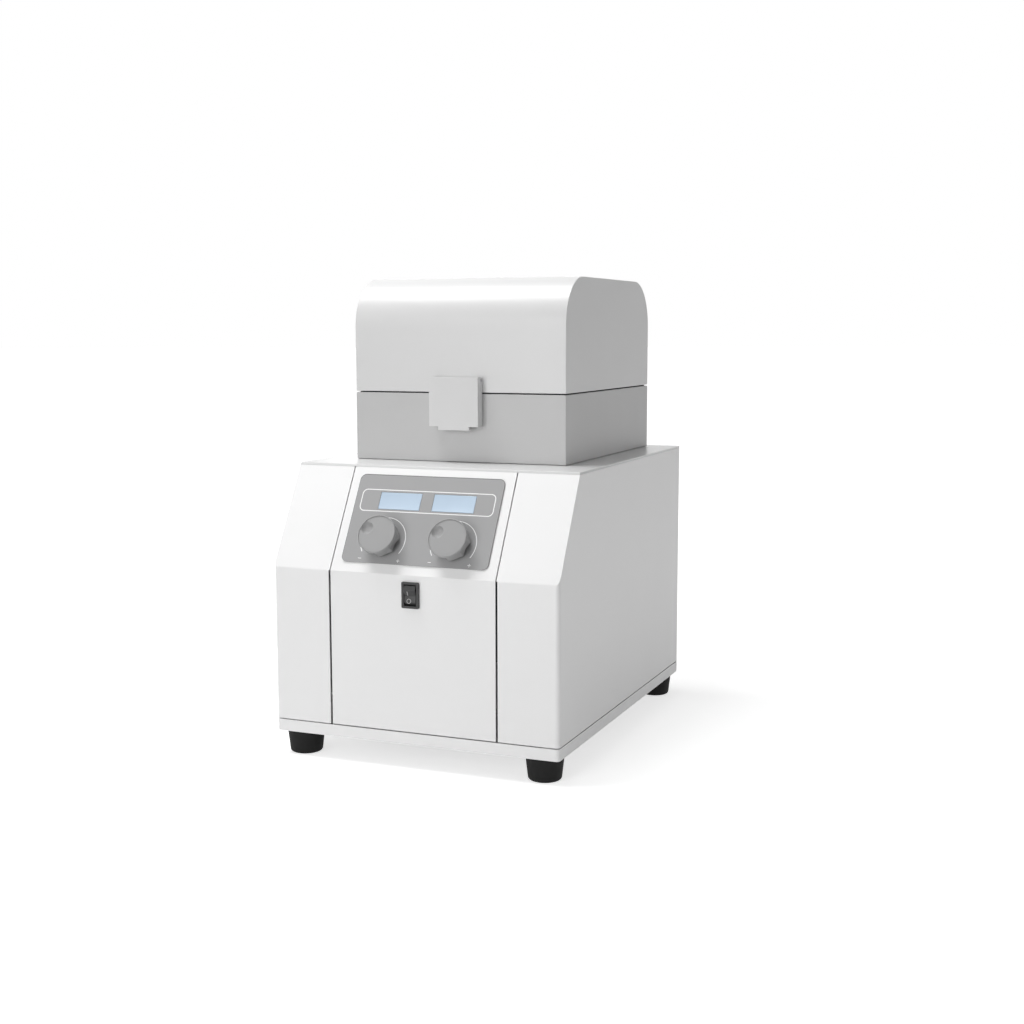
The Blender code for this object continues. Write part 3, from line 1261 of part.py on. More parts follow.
def tube_plate(head):
    """A thick disc with open-sided tube slots round its rim and a deep boss for the bearing."""
    half = PLATE_THICKNESS / 2
    outline = []
    pitch = 2 * math.pi / TUBE_COUNT
    mouth = math.asin(TUBE_SLOT_RADIUS / PLATE_RADIUS)
    for index in range(TUBE_COUNT):
        middle = (index + 1 / 2) * pitch
        for step in range(RIM_STEPS + 1):
            angle = middle - pitch + mouth + (pitch - 2 * mouth) * step / RIM_STEPS
            outline.append((PLATE_RADIUS * math.cos(angle), PLATE_RADIUS * math.sin(angle)))
        along = Vector((math.cos(middle), math.sin(middle)))
        across = Vector((-along.y, along.x))
        for step in range(SLOT_STEPS + 1):
            turn = math.pi * step / SLOT_STEPS
            point = along * (TUBE_RING_RADIUS - TUBE_SLOT_RADIUS * math.sin(turn))
            point -= across * TUBE_SLOT_RADIUS * math.cos(turn)
            outline.append(tuple(point))
    plate = flat_piece("tube_plate", [outline], PLATE_THICKNESS)
    lip_low = -HEAD_BEARING_WIDTH / 2 - GAP - PLATE_LIP
    boss = rod("plate_boss", PLATE_BOSS_RADIUS, lip_low, 0, ROUND_STEPS, CUTTERS)
    seat = rod("plate_seat", HEAD_BEARING_RADIUS + GAP, lip_low + PLATE_LIP, half + OVERRUN,
               ROUND_STEPS, CUTTERS)
    through = rod("plate_through", JOURNAL_SHOULDER_RADIUS + SEAM, lip_low - OVERRUN, half, ROUND_STEPS,
                  CUTTERS)
    pin_hole = rod("plate_pin_hole", PIN_RADIUS + GAP, PIN_START - GAP, PLATE_RADIUS + OVERRUN,
                   collection=CUTTERS)
    place(pin_hole, rotation=TOWARDS_BACK, parent=head)
    for item in (plate, boss, seat, through):
        place(item, parent=head)
    join(plate, boss)
    cut(plate, seat, through, pin_hole)
    return dress(plate, ALUMINIUM)


def anti_turn_pin(head):
    pin = rod("anti_turn_pin", PIN_RADIUS, PIN_START, PIN_END)
    return dress(place(pin, rotation=TOWARDS_BACK, parent=head), STEEL)


def hub_bearing(head):
    half = HEAD_BEARING_WIDTH / 2
    item = bearing("hub_bearing", JOURNAL_RADIUS + GAP, HEAD_BEARING_RADIUS, -half, HEAD_BEARING_WIDTH)
    return place(item, parent=head)


def clamp_stud(head):
    """A cap over the bearing with the stud that the cover and the clamp knob go on."""
    foot = PLATE_THICKNESS / 2 + GAP
    profile = [
        (0, STUD_RISE),
        (STUD_RADIUS, STUD_RISE),
        (STUD_RADIUS, foot + STUD_FLANGE),
        (STUD_FLANGE_RADIUS, foot + STUD_FLANGE),
        (STUD_FLANGE_RADIUS, foot),
        (0, foot),
    ]
    return dress(place(turned("clamp_stud", profile, TURN_STEPS), parent=head), STEEL)


def tube_cover(head):
    """A disc that presses on the tube caps, with a stiffening rim and a boss on the stud's cap."""
    foot = PLATE_THICKNESS / 2 + 2 * GAP + STUD_FLANGE
    under = PLATE_THICKNESS / 2 + TUBE_CAP_ROOM
    top = under + COVER_THICKNESS
    profile = [
        (COVER_RADIUS, top + COVER_RIM_DEPTH),
        (COVER_RADIUS, under),
        (COVER_BOSS_RADIUS, under),
        (COVER_BOSS_RADIUS, foot),
        (STUD_RADIUS + GAP, foot),
        (STUD_RADIUS + GAP, top),
        (COVER_RADIUS - COVER_RIM, top),
        (COVER_RADIUS - COVER_RIM, top + COVER_RIM_DEPTH),
    ]
    return dress(place(turned("tube_cover", profile, FINE_STEPS, closed=True), parent=head), ALUMINIUM)


def clamp_knob(head):
    """A lobed hand knob with a blind bore for the stud."""
    foot = PLATE_THICKNESS / 2 + TUBE_CAP_ROOM + COVER_THICKNESS + GAP
    outline = []
    count = CLAMP_LOBES * CLAMP_LOBE_STEPS
    for index in range(count):
        angle = 2 * math.pi * index / count
        reach = CLAMP_RADIUS - CLAMP_LOBE_DEPTH * (1 - math.cos(CLAMP_LOBES * angle)) / 2
        outline.append((reach * math.cos(angle), reach * math.sin(angle)))
    grip = flat_piece("clamp_knob", [outline], CLAMP_HEIGHT)
    soften(grip, CLAMP_EDGE, 1)
    bore = rod("clamp_bore", STUD_RADIUS + GAP, foot - OVERRUN, STUD_RISE + GAP, collection=CUTTERS)
    place(grip, (0, 0, foot + CLAMP_HEIGHT / 2), parent=head)
    place(bore, parent=head)
    return dress(cut(grip, bore), BLACK_PLASTIC)


def anti_turn_fork():
    """A post on the chamber floor whose slot lets the pin rise and fall."""
    bottom = CHAMBER_FLOOR + GAP
    front = DRIVE_Y + FORK_START
    centre = front + FORK_DEPTH / 2
    post = block("anti_turn_fork", (-FORK_WIDTH / 2, front, bottom),
                 (FORK_WIDTH / 2, front + FORK_DEPTH, HEAD_LEVEL + FORK_SLOT_REACH))
    base = block("fork_base", (-FORK_BASE_WIDTH / 2, centre - FORK_BASE_DEPTH / 2, bottom),
                 (FORK_BASE_WIDTH / 2, centre + FORK_BASE_DEPTH / 2, bottom + FORK_BASE), CUTTERS)
    half_slot = PIN_RADIUS + PIN_CLEARANCE
    slot = block("fork_slot", (-half_slot, front - OVERRUN, HEAD_LEVEL - FORK_SLOT_REACH),
                 (half_slot, front + FORK_DEPTH + OVERRUN, HEAD_LEVEL + FORK_SLOT_REACH + OVERRUN), CUTTERS)
    return dress(cut(join(post, base), slot), ZINC_PLATE)


# Mains inlet

def mains_inlet():
    """A flanged socket with two chamfered corners, and its three blades."""
    face = axis_empty("inlet_face", (INLET_OFFSET, REAR, INLET_LEVEL), FACING_BACK)
    flange = flat_piece("power_inlet", [rectangle(INLET_WIDTH, INLET_HEIGHT, INLET_FLANGE)], INLET_FLANGE)
    place(flange, (0, 0, GAP + INLET_FLANGE / 2), parent=face)
    front = GAP + INLET_FLANGE
    across, along = INLET_BODY_WIDTH / 2, INLET_BODY_HEIGHT / 2
    body = block("inlet_body", (-across, -along, -INLET_BODY_DEPTH),
                 (across, along, GAP + INLET_FLANGE / 2), CUTTERS)
    place(body, parent=face)
    half_width, half_height = INLET_SOCKET_WIDTH / 2, INLET_SOCKET_HEIGHT / 2
    chamfer = INLET_SOCKET_CHAMFER
    outline = [
        (-half_width, -half_height),
        (half_width, -half_height),
        (half_width, half_height - chamfer),
        (half_width - chamfer, half_height),
        (-half_width + chamfer, half_height),
        (-half_width, half_height - chamfer),
    ]
    floor = front - INLET_SOCKET_DEPTH
    socket = flat_piece("inlet_socket", [outline], INLET_SOCKET_DEPTH + OVERRUN, CUTTERS)
    place(socket, (0, 0, (floor + front + OVERRUN) / 2), parent=face)
    join(flange, body)
    cut(flange, socket)
    for index, drop in enumerate((-1, 1, -1)):
        x = (index - 1) * INLET_PIN_PITCH
        y = drop * INLET_PIN_DROP / 2
        blade = block(
            f"inlet_blade_{index}",
            (x - INLET_PIN_WIDTH / 2, y - INLET_PIN_HEIGHT / 2, -INLET_BODY_DEPTH - INLET_TAIL),
            (x + INLET_PIN_WIDTH / 2, y + INLET_PIN_HEIGHT / 2, floor + INLET_PIN_LENGTH),
            CUTTERS,
        )
        join(flange, place(blade, parent=face))
    return dress(flange, BLACK_PLASTIC)


# Fan

def fan_frame(axis):
    """Square flanges joined by a round duct, with the bearing carrier on struts at the inner end."""
    outline = [rectangle(FAN_SIZE, FAN_SIZE, FAN_CORNER)]
    frame = flat_piece("fan_frame", outline, FAN_FLANGE)
    inner_flange = flat_piece("fan_inner_flange", outline, FAN_FLANGE, CUTTERS)
    place(frame, (0, 0, -FAN_FLANGE / 2), parent=axis)
    place(inner_flange, (0, 0, -FAN_DEPTH + FAN_FLANGE / 2), parent=axis)
    duct = rod("fan_duct", FAN_BORE_RADIUS + FAN_DUCT_WALL, -FAN_DEPTH + FAN_FLANGE / 2, -FAN_FLANGE / 2,
               FINE_STEPS, CUTTERS)
    bore = rod("fan_bore", FAN_BORE_RADIUS, -FAN_DEPTH - OVERRUN, OVERRUN, FINE_STEPS, CUTTERS)
    carrier_top = -FAN_DEPTH + FAN_CARRIER
    carrier = rod("fan_carrier", FAN_CARRIER_RADIUS, -FAN_DEPTH, carrier_top, TURN_STEPS, CUTTERS)
    axle = rod("fan_axle_hole", FAN_AXLE_RADIUS + GAP, -FAN_DEPTH - OVERRUN, carrier_top + OVERRUN,
               SIDE_STEPS, CUTTERS)
    struts = []
    for index in range(FAN_STRUTS):
        strut = block(f"fan_strut_{index}", (0, -FAN_STRUT_WIDTH / 2, -FAN_DEPTH),
                      (FAN_BORE_RADIUS + FAN_DUCT_WALL / 2, FAN_STRUT_WIDTH / 2, carrier_top), CUTTERS)
        angle = 2 * math.pi * (index + 1 / 2) / FAN_STRUTS
        struts.append(place(strut, rotation=(0, 0, angle), parent=axis))
    for item in (duct, bore, carrier, axle):
        place(item, parent=axis)
    join(frame, inner_flange, duct)
    cut(frame, bore)
    join(frame, carrier, *struts)
    return dress(cut(frame, axle), BLACK_PLASTIC)


def fan_blade(index, low, high):
    """One twisted blade: a sheet swept round the axis from its lower to its upper edge, then thickened."""
    bm = bmesh.new()
    bmesh.ops.create_grid(bm, x_segments=FAN_BLADE_SPANS, y_segments=FAN_BLADE_CHORDS, size=1 / 2)
    inner = FAN_HUB_RADIUS - FAN_BLADE
    for vert in bm.verts:
        share = vert.co.x + 1 / 2
        radius = inner + share * (FAN_BLADE_RADIUS - inner)
        sweep = FAN_BLADE_SWEEP + share * (FAN_TIP_SWEEP - FAN_BLADE_SWEEP)
        angle = vert.co.y * sweep
        level = low + (vert.co.y + 1 / 2) * (high - low)
        vert.co = (radius * math.cos(angle), radius * math.sin(angle), level)
    blade = finish_mesh(f"fan_blade_{index}", bm, CUTTERS)
    sheet = blade.modifiers.new("sheet", "SOLIDIFY")
    sheet.thickness = FAN_BLADE
    sheet.offset = 0
    return blade


def fan_rotor(axis):
    """A hub with a short axle and seven blades that twist towards their tips."""
    back = -FAN_DEPTH + FAN_CARRIER + GAP
    front = back + FAN_HUB_DEPTH
    profile = [
        (0, front),
        (FAN_HUB_RADIUS - FAN_BLADE, front),
        (FAN_HUB_RADIUS, front - FAN_BLADE),
        (FAN_HUB_RADIUS, back),
        (FAN_AXLE_RADIUS, back),
        (FAN_AXLE_RADIUS, -FAN_DEPTH + GAP),
        (0, -FAN_DEPTH + GAP),
    ]
    rotor = place(turned("fan_rotor", profile, TURN_STEPS), parent=axis)
    for index in range(FAN_BLADES):
        blade = fan_blade(index, back + FAN_BLADE, front - FAN_BLADE)
        place(blade, rotation=(0, 0, 2 * math.pi * index / FAN_BLADES), parent=axis)
        join(rotor, blade)
    return dress(rotor, BLACK_PLASTIC)


def fan_guard(axis):
    """Wire rings on crossed arms, flat against the outside of the panel."""
    level = SHEET + 2 * GAP + GUARD_WIRE
    guard = rod("fan_guard", GUARD_WIRE, -GUARD_ARM_REACH, GUARD_ARM_REACH, SIDE_STEPS)
    cross_arm = rod("guard_cross_arm", GUARD_WIRE, -GUARD_ARM_REACH, GUARD_ARM_REACH, SIDE_STEPS, CUTTERS)
    place(guard, (0, 0, level), (0, QUARTER, QUARTER / 2), axis)
    place(cross_arm, (0, 0, level), (0, QUARTER, -QUARTER / 2), axis)
    rings = []
    for index in range(GUARD_RINGS):
        radius = GUARD_FIRST + index * GUARD_PITCH
        profile = [(radius + x, y) for x, y in circle(GUARD_WIRE, GUARD_WIRE_SIDES)][::-1]
        wire = turned(f"guard_ring_{index}", profile, TURN_STEPS, closed=True, collection=CUTTERS)
        rings.append(place(wire, (0, 0, level + GUARD_WIRE), parent=axis))
    join(guard, cross_arm, *rings)
    return dress(guard, STEEL)


# Electronics

def power_supply():
    """An enclosed supply standing on the tray, its outer face slotted for air."""
    bottom = TRAY_FLOOR + GAP
    low = (-CASE_X - CASE_WIDTH, DRIVE_Y - SUPPLY_DEPTH / 2, bottom)
    high = (-CASE_X, DRIVE_Y + SUPPLY_DEPTH / 2, bottom + SUPPLY_HEIGHT)
    case = block("power_supply", low, high)
    pitch = SUPPLY_DEPTH / (SUPPLY_SLOTS + 1)
    for index in range(SUPPLY_SLOTS):
        y = low[1] + (index + 1) * pitch
        slot = block(
            f"supply_slot_{index}",
            (high[0] - SUPPLY_SLOT_DEPTH, y - SUPPLY_SLOT_WIDTH / 2, low[2] + SUPPLY_SLOT_INSET),
            (high[0] + OVERRUN, y + SUPPLY_SLOT_WIDTH / 2, high[2] - SUPPLY_SLOT_INSET),
            CUTTERS,
        )
        cut(case, slot)
    return dress(case, ZINC_PLATE)


def motor_driver():
    """The drive's case: a finned extrusion on the tray, fins towards the motor."""
    outline = []
    pitch = DRIVER_DEPTH / DRIVER_FINS
    for index in range(DRIVER_FINS):
        start = index * pitch
        end = start + pitch * DRIVER_FIN_SHARE
        outline += [(0, start), (0, end)]
        if index < DRIVER_FINS - 1:
            outline += [(DRIVER_FIN_DEPTH, end), (DRIVER_FIN_DEPTH, start + pitch)]
    length = outline[-1][1]
    outline += [(CASE_WIDTH, length), (CASE_WIDTH, 0)]
    case = flat_piece("motor_driver", [outline], DRIVER_HEIGHT)
    place(case, (CASE_X, DRIVE_Y - length / 2, TRAY_FLOOR + GAP + DRIVER_HEIGHT / 2))
    return dress(case, ALUMINIUM)


# Assembly

def main():
    panel = axis_empty("panel_axis", (0, FRONT, KNEE), PANEL_TILT)
    lid_axis = axis_empty("lid_axis", (0, HINGE_Y, SEAM_LEVEL))
    lever_axis = axis_empty("latch_axis", (0, LATCH_PIN_Y, LATCH_PIN_Z))
    head = axis_empty("head_axis", (0, DRIVE_Y, HEAD_LEVEL), (HEAD_TILT, 0, 0))
    fan = axis_empty("fan_axis", (0, REAR_INNER - GAP, FAN_LEVEL), FACING_BACK)

    base_tray()
    for side, mirror in SIDES:
        side_cover(side, mirror)
    front_panel(panel)
    rear_panel()
    top_plate()
    for place_of_foot in foot_places():
        foot(*place_of_foot)

    control_overlay(panel)
    control_board(panel)
    for side, mirror in SIDES:
        display(side, mirror, panel)
        knob(side, encoder(side, mirror, panel))
    rocker_switch()

    chamber_body()
    lid_gasket()
    lid_shell(lid_axis)
    for side, mirror in SIDES:
        hinge(side, mirror, lid_axis)
    latch(lid_axis, lever_axis)

    drive_stand()
    motor()
    motor_shaft()
    shaft_coupling()
    spindle_housing()
    spindle_bearings()
    spindle()
    floor_seal()

    inclined_hub()
    hub_bearing(head)
    tube_plate(head)
    anti_turn_pin(head)
    clamp_stud(head)
    tube_cover(head)
    clamp_knob(head)
    anti_turn_fork()

    mains_inlet()
    fan_frame(fan)
    fan_rotor(fan)
    fan_guard(fan)
    power_supply()
    motor_driver()


main()
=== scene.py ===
"""Looks of the bench-top tissue grinder: its finishes, its fine surfaces, and the studio it stands in.

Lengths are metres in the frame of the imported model: +X to the user's right, +Y to the back, +Z up.
"""

from __future__ import annotations

import logging
import math
from dataclasses import dataclass, replace
from enum import Enum
from typing import Any, Iterable, Sequence

import bmesh
import bpy
from mathutils import Matrix, Vector


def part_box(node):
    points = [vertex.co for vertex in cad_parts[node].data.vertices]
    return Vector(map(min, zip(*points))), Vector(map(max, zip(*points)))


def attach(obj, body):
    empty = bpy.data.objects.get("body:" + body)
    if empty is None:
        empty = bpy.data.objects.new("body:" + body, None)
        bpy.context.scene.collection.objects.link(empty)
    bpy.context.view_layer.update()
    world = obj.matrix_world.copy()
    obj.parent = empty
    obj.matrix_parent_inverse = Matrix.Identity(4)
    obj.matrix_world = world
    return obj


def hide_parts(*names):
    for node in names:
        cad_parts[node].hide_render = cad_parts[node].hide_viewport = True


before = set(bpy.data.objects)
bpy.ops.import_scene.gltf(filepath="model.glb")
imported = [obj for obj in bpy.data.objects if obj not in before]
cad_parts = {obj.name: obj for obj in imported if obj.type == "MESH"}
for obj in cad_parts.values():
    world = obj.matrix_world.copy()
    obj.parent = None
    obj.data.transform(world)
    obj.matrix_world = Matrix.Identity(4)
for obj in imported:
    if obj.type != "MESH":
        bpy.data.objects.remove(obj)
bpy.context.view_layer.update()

LOG = logging.getLogger("tissue_grinder")

MM = 0.001
DEGREE = math.pi / 180
WELD = 0.02 * MM
FLAT_ANGLE = 0.5 * DEGREE
LARGE_FACE = 2e-3
BORDER = 1.2 * MM
SHARP_ANGLE = 30 * DEGREE
ROUND_PROFILE = 0.5
INK = (0, 0, 0.06 * MM)
FRAME_CORNER_STEPS = 10
FACING = 0.99

Colour = tuple[float, float, float]
Point = tuple[float, float]
Piece = bpy.types.Object
Mesh = bmesh.types.BMesh
Socket = bpy.types.NodeSocket


class Side(Enum):
    """The two sides of the machine, as the user sees them."""

    LEFT = -1
    RIGHT = 1

    @property
    def word(self) -> str:
        """The side's name as the model's nodes spell it."""
        return self.name.lower()


class Rounding(Enum):
    """Which edges of a piece are rounded."""

    SHARP = "ANGLE"
    MARKED = "WEIGHT"


# Finishes


def preset(node: bpy.types.Node, values: dict[str, Any]) -> bpy.types.Node:
    """Set the values of a node's sockets.

    Args:
        node: The node.
        values: Each socket's name and value.

    Returns:
        The same node.
    """
    for name, value in values.items():
        node.inputs[name].default_value = value
    return node


class Texture(Enum):
    """The texture node behind a pattern, and the socket that it is read from."""

    NOISE = ("TexNoise", "Fac")
    CELLS = ("TexVoronoi", "Distance")


@dataclass(frozen=True)
class Pattern:
    """A procedural pattern on Object coordinates.

    Attributes:
        size: Size of its features.
        detail: Octaves of finer features.
        texture: What it is made of.
        stretch: Factor on each axis, where it is drawn out.
    """

    size: float
    detail: float = 2.0
    texture: Texture = Texture.NOISE
    stretch: tuple[float, float, float] | None = None


class Shader:
    """One material's node tree, with its Principled shader and its Object coordinates."""

    def __init__(self, name: str) -> None:
        """Start a material with nothing but its output, its shader and its coordinates.

        Args:
            name: The material's name.
        """
        self.material = bpy.data.materials.new(name)
        self.material.use_nodes = True
        self.tree = self.material.node_tree
        self.principled = self.tree.nodes["Principled BSDF"]
        self.coordinates = self.tree.nodes.new("ShaderNodeTexCoord").outputs["Object"]
        self.patterns: dict[Pattern, Socket] = {}

    def node(self, kind: str, **settings: Any) -> bpy.types.Node:
        """Add a node.

        Args:
            kind: The node's type, without its ShaderNode prefix.
            **settings: Properties of the node.

        Returns:
            The new node.
        """
        made = self.tree.nodes.new("ShaderNode" + kind)
        for key, value in settings.items():
            setattr(made, key, value)
        return made

    def wire(self, source: Socket, target: Socket) -> None:
        """Link one socket to another."""
        self.tree.links.new(source, target)

    def pattern(self, wanted: Pattern) -> Socket:
        """A pattern's value, whose nodes are made on first use.

        Args:
            wanted: The pattern.

        Returns:
            Its socket.
        """
        if wanted not in self.patterns:
            place = self.coordinates
            if wanted.stretch:
                mapping = preset(self.node("Mapping"), {"Scale": wanted.stretch})
                self.wire(place, mapping.inputs["Vector"])
                place = mapping.outputs["Vector"]
            kind, value = wanted.texture.value
            texture = preset(self.node(kind), {"Scale": 1 / wanted.size, "Detail": wanted.detail})
            self.wire(place, texture.inputs["Vector"])
            self.patterns[wanted] = texture.outputs[value]
        return self.patterns[wanted]

    def tint(self, pattern: Socket, low: Colour, high: Colour) -> None:
        """Run the base colour between two colours along a pattern.

        Args:
            pattern: A socket from 0 to 1.
            low: Colour where the pattern is low.
            high: Colour where the pattern is high.
        """
        ramp = self.node("ValToRGB")
        ramp.color_ramp.elements[0].color = (*low, 1)
        ramp.color_ramp.elements[1].color = (*high, 1)
        self.wire(pattern, ramp.inputs["Fac"])
        self.wire(ramp.outputs["Color"], self.principled.inputs["Base Color"])

    def gloss(self, pattern: Socket, low: float, high: float) -> None:
        """Run the roughness between two values along a pattern.

        Args:
            pattern: A socket from 0 to 1.
            low: Roughness where the pattern is low.
            high: Roughness where the pattern is high.
        """
        spread = preset(self.node("MapRange"), {"To Min": low, "To Max": high})
        self.wire(pattern, spread.inputs["Value"])
        self.wire(spread.outputs["Result"], self.principled.inputs["Roughness"])

    def relief(self, pattern: Socket, depth: float) -> None:
        """Raise and lower the surface along a pattern.

        Args:
            pattern: A socket from 0 to 1.
            depth: Height of the relief, in metres.
        """
        bump = preset(self.node("Bump"), {"Distance": depth, "Strength": 1.0})
        self.wire(pattern, bump.inputs["Height"])
        self.wire(bump.outputs["Normal"], self.principled.inputs["Normal"])


def shaded(colour: Colour, share: float) -> Colour:
    """A colour made lighter or darker by a share of itself."""
    red, green, blue = (min(1.0, channel * (1 + share)) for channel in colour)
    return red, green, blue


@dataclass(frozen=True)
class Finish:
    """A surface finish, whose colour, roughness and height each follow a pattern.

    Attributes:
        label: The material's name.
        slot: The record's material slot; not used.
        colour: Base colour, linear.
        roughness: Roughness of the plain surface.
        specular: Specular level.
        metallic: 1 for a bare metal.
        tone: Pattern of the colour.
        shares: How much darker and lighter the colour gets, as shares of itself.
        gloss: Pattern of the roughness, if it varies.
        spread: How far the roughness falls and rises.
        grain: Pattern of the relief.
        depth: Height of the relief.
    """

    label: str
    slot: str
    colour: Colour
    roughness: float
    specular: float = 0.5
    metallic: float = 0.0
    tone: Pattern = Pattern(60 * MM)
    shares: Point = (0, 0)
    gloss: Pattern | None = None
    spread: Point = (0, 0)
    grain: Pattern = Pattern(1 * MM)
    depth: float = 0.0

    def sockets(self) -> dict[str, Any]:
        """Values of the shader's sockets that are even over the surface."""
        plain = {"Base Color": (*self.colour, 1), "Roughness": self.roughness}
        return plain | {"Specular IOR Level": self.specular, "Metallic": self.metallic}

    def fill(self, shader: Shader) -> None:
        """Lay the patterns on the material.

        Args:
            shader: The material's shader.
        """
        dark, light = self.shares
        shader.tint(shader.pattern(self.tone), shaded(self.colour, dark), shaded(self.colour, light))
        if self.gloss:
            fall, rise = self.spread
            shader.gloss(shader.pattern(self.gloss), self.roughness + fall, self.roughness + rise)
        shader.relief(shader.pattern(self.grain), self.depth)

    def material(self) -> bpy.types.Material:
        """The finish's material, made on first use.

        Returns:
            The material.
        """
        known = bpy.data.materials.get(self.label)
        if known:
            return known
        shader = Shader(self.label)
        preset(shader.principled, self.sockets())
        self.fill(shader)
        shader.material.diffuse_color = (*self.colour, 1)
        return shader.material


@dataclass(frozen=True)
class PowderCoat(Finish):
    """Baked powder coat: a faint orange peel and hardly any change of tone."""

    shares: Point = (-0.008, 0.008)
    gloss: Pattern = Pattern(1.1 * MM)
    spread: Point = (-0.04, 0.04)
    grain: Pattern = Pattern(1.1 * MM)
    depth: float = 0.012 * MM


@dataclass(frozen=True)
class MouldedPlastic(Finish):
    """Injection-moulded plastic with a spark-eroded grain."""

    tone: Pattern = Pattern(27 * MM)
    shares: Point = (-0.005, 0.005)
    gloss: Pattern = Pattern(27 * MM)
    spread: Point = (-0.05, 0.05)
    grain: Pattern = Pattern(0.45 * MM, 0.0, Texture.CELLS)
    depth: float = 0.004 * MM


@dataclass(frozen=True)
class PrintedFilm(Finish):
    """Matt screen-printed polyester film."""

    tone: Pattern = Pattern(24 * MM)
    shares: Point = (-0.02, 0.02)
    gloss: Pattern = Pattern(0.16 * MM, 1.0)
    spread: Point = (-0.08, 0.08)
    grain: Pattern = Pattern(0.16 * MM, 1.0)
    depth: float = 0.004 * MM


@dataclass(frozen=True)
class Rubber(Finish):
    """Soft black rubber, a little dusty."""

    specular: float = 0.25
    tone: Pattern = Pattern(5 * MM, 6.0)
    shares: Point = (-0.2, 0.6)
    grain: Pattern = Pattern(0.5 * MM)
    depth: float = 0.025 * MM


@dataclass(frozen=True)
class Metal(Finish):
    """Bare metal with fine tool marks drawn out along one axis."""

    metallic: float = 1.0
    tone: Pattern = Pattern(0.25 * MM, 3.0, stretch=(1.0, 1.0, 0.04))
    shares: Point = (-0.06, 0.06)
    spread: Point = (-0.07, 0.09)
    depth: float = 0.25 * MM / 60

    def fill(self, shader: Shader) -> None:
        """Lay the tool marks on the material, for its roughness and its relief too."""
        Finish.fill(replace(self, gloss=self.tone, grain=self.tone), shader)


@dataclass(frozen=True)
class ZincSheet(Finish):
    """Zinc-plated sheet: broad faint patches and a soft grain."""

    metallic: float = 1.0
    tone: Pattern = Pattern(14 * MM, 0.0, Texture.CELLS)
    shares: Point = (-0.08, 0.08)
    gloss: Pattern = Pattern(14 * MM, 0.0, Texture.CELLS)
    spread: Point = (-0.06, 0.08)
    grain: Pattern = Pattern(0.7 * MM)
    depth: float = 0.007 * MM


@dataclass(frozen=True)
class CircuitBoard(Finish):
    """Green solder mask over rows of tracks.

    Attributes:
        track: Length of a track.
        gap: Width of the gaps, as a share of it.
        shares: How much lighter every second track and the gaps are.
    """

    track: float = 10.16 * MM
    gap: float = 0.03
    shares: Point = (0.25, 1.6)
    depth: float = 0.032 * MM

    def fill(self, shader: Shader) -> None:
        """Lay the tracks on the material.

        Args:
            shader: The material's shader.
        """
        tracks = preset(shader.node("TexBrick"), {"Scale": 1 / self.track, "Mortar Size": self.gap})
        for share, name in zip((0.0, *self.shares), ("Color1", "Color2", "Mortar")):
            preset(tracks, {name: (*shaded(self.colour, share), 1)})
        shader.wire(shader.coordinates, tracks.inputs["Vector"])
        shader.wire(tracks.outputs["Color"], shader.principled.inputs["Base Color"])
        shader.relief(tracks.outputs["Fac"], self.depth)


@dataclass(frozen=True)
class LitDisplay(Finish):
    """A clear window over an evenly lit pale display, with its fine cell rows.

    Attributes:
        glow: Strength of its light.
        coat: Weight and roughness of the window's gloss.
    """

    glow: float = 0.12
    coat: Point = (0.3, 0.05)
    tone: Pattern = Pattern(14 * MM)
    shares: Point = (-0.035, 0.035)
    grain: Pattern = Pattern(0.6 * MM, 0.0, Texture.CELLS)
    depth: float = 0.003 * MM

    def sockets(self) -> dict[str, Any]:
        """Values of the shader's sockets, with the window's gloss and its light.

        Returns:
            Each socket's name and value.
        """
        weight, roughness = self.coat
        light = {"Emission Color": (*self.colour, 1), "Emission Strength": self.glow}
        return super().sockets() | light | {"Coat Weight": weight, "Coat Roughness": roughness}


@dataclass(frozen=True)
class Ink(Finish):
    """Screen-printed ink, a little uneven at its finest scale."""

    tone: Pattern = Pattern(0.12 * MM, 1.0)
    shares: Point = (-0.05, 0.05)
    grain: Pattern = Pattern(0.12 * MM, 1.0)
    depth: float = 0.004 * MM


WHITE_COAT = PowderCoat("white_coat", "housing_paint", (0.86, 0.86, 0.86), 0.4)
# Painted shade: the roof sheet gets a greyer copy of the white coat, standing in for the chamber's shade and
# reflection on the roof.
ROOF_SHADE_COAT = PowderCoat("roof_coat_painted_shade", "housing_paint", (0.66, 0.66, 0.66), 0.34)
LID_PLASTIC = MouldedPlastic("lid_moulding", "chamber_plastic", (0.66, 0.66, 0.66), 0.34)
# The chamber's grey is partly its own darker plastic and partly painted shade, set darker to stand in for the
# shade on its lower part near the roof.
CHAMBER_SHADED_PLASTIC = MouldedPlastic("chamber_moulding", "chamber_plastic", (0.50, 0.50, 0.50), 0.42)
LATCH_PLASTIC = MouldedPlastic("latch_moulding", "latch_plastic", (0.67, 0.67, 0.67), 0.5)
GREY_FILM = PrintedFilm("grey_film", "overlay_film", (0.33, 0.33, 0.333), 0.5)
KNOB_PLASTIC = MouldedPlastic("knob_moulding", "knob_plastic", (0.35, 0.35, 0.352), 0.55, specular=0.25)
DISPLAY = LitDisplay("lit_display", "display_window", (0.445, 0.55, 0.665), 0.25)
SWITCH_PLASTIC = MouldedPlastic("switch_moulding", "switch_plastic", (0.042, 0.042, 0.043), 0.42, specular=0.3)
BLACK_PLASTIC = MouldedPlastic("black_moulding", "black_plastic", (0.03, 0.03, 0.03), 0.42)
FOOT_RUBBER = Rubber("soft_rubber", "rubber", (0.006, 0.006, 0.006), 0.78)
BOARD = CircuitBoard("solder_mask", "circuit_board", (0.02, 0.15, 0.06), 0.45)
GROUND_STEEL = Metal("ground_steel", "steel", (0.55, 0.55, 0.56), 0.34)
MOTOR_COAT = PowderCoat("motor_coat", "motor_steel", (0.09, 0.09, 0.10), 0.42)
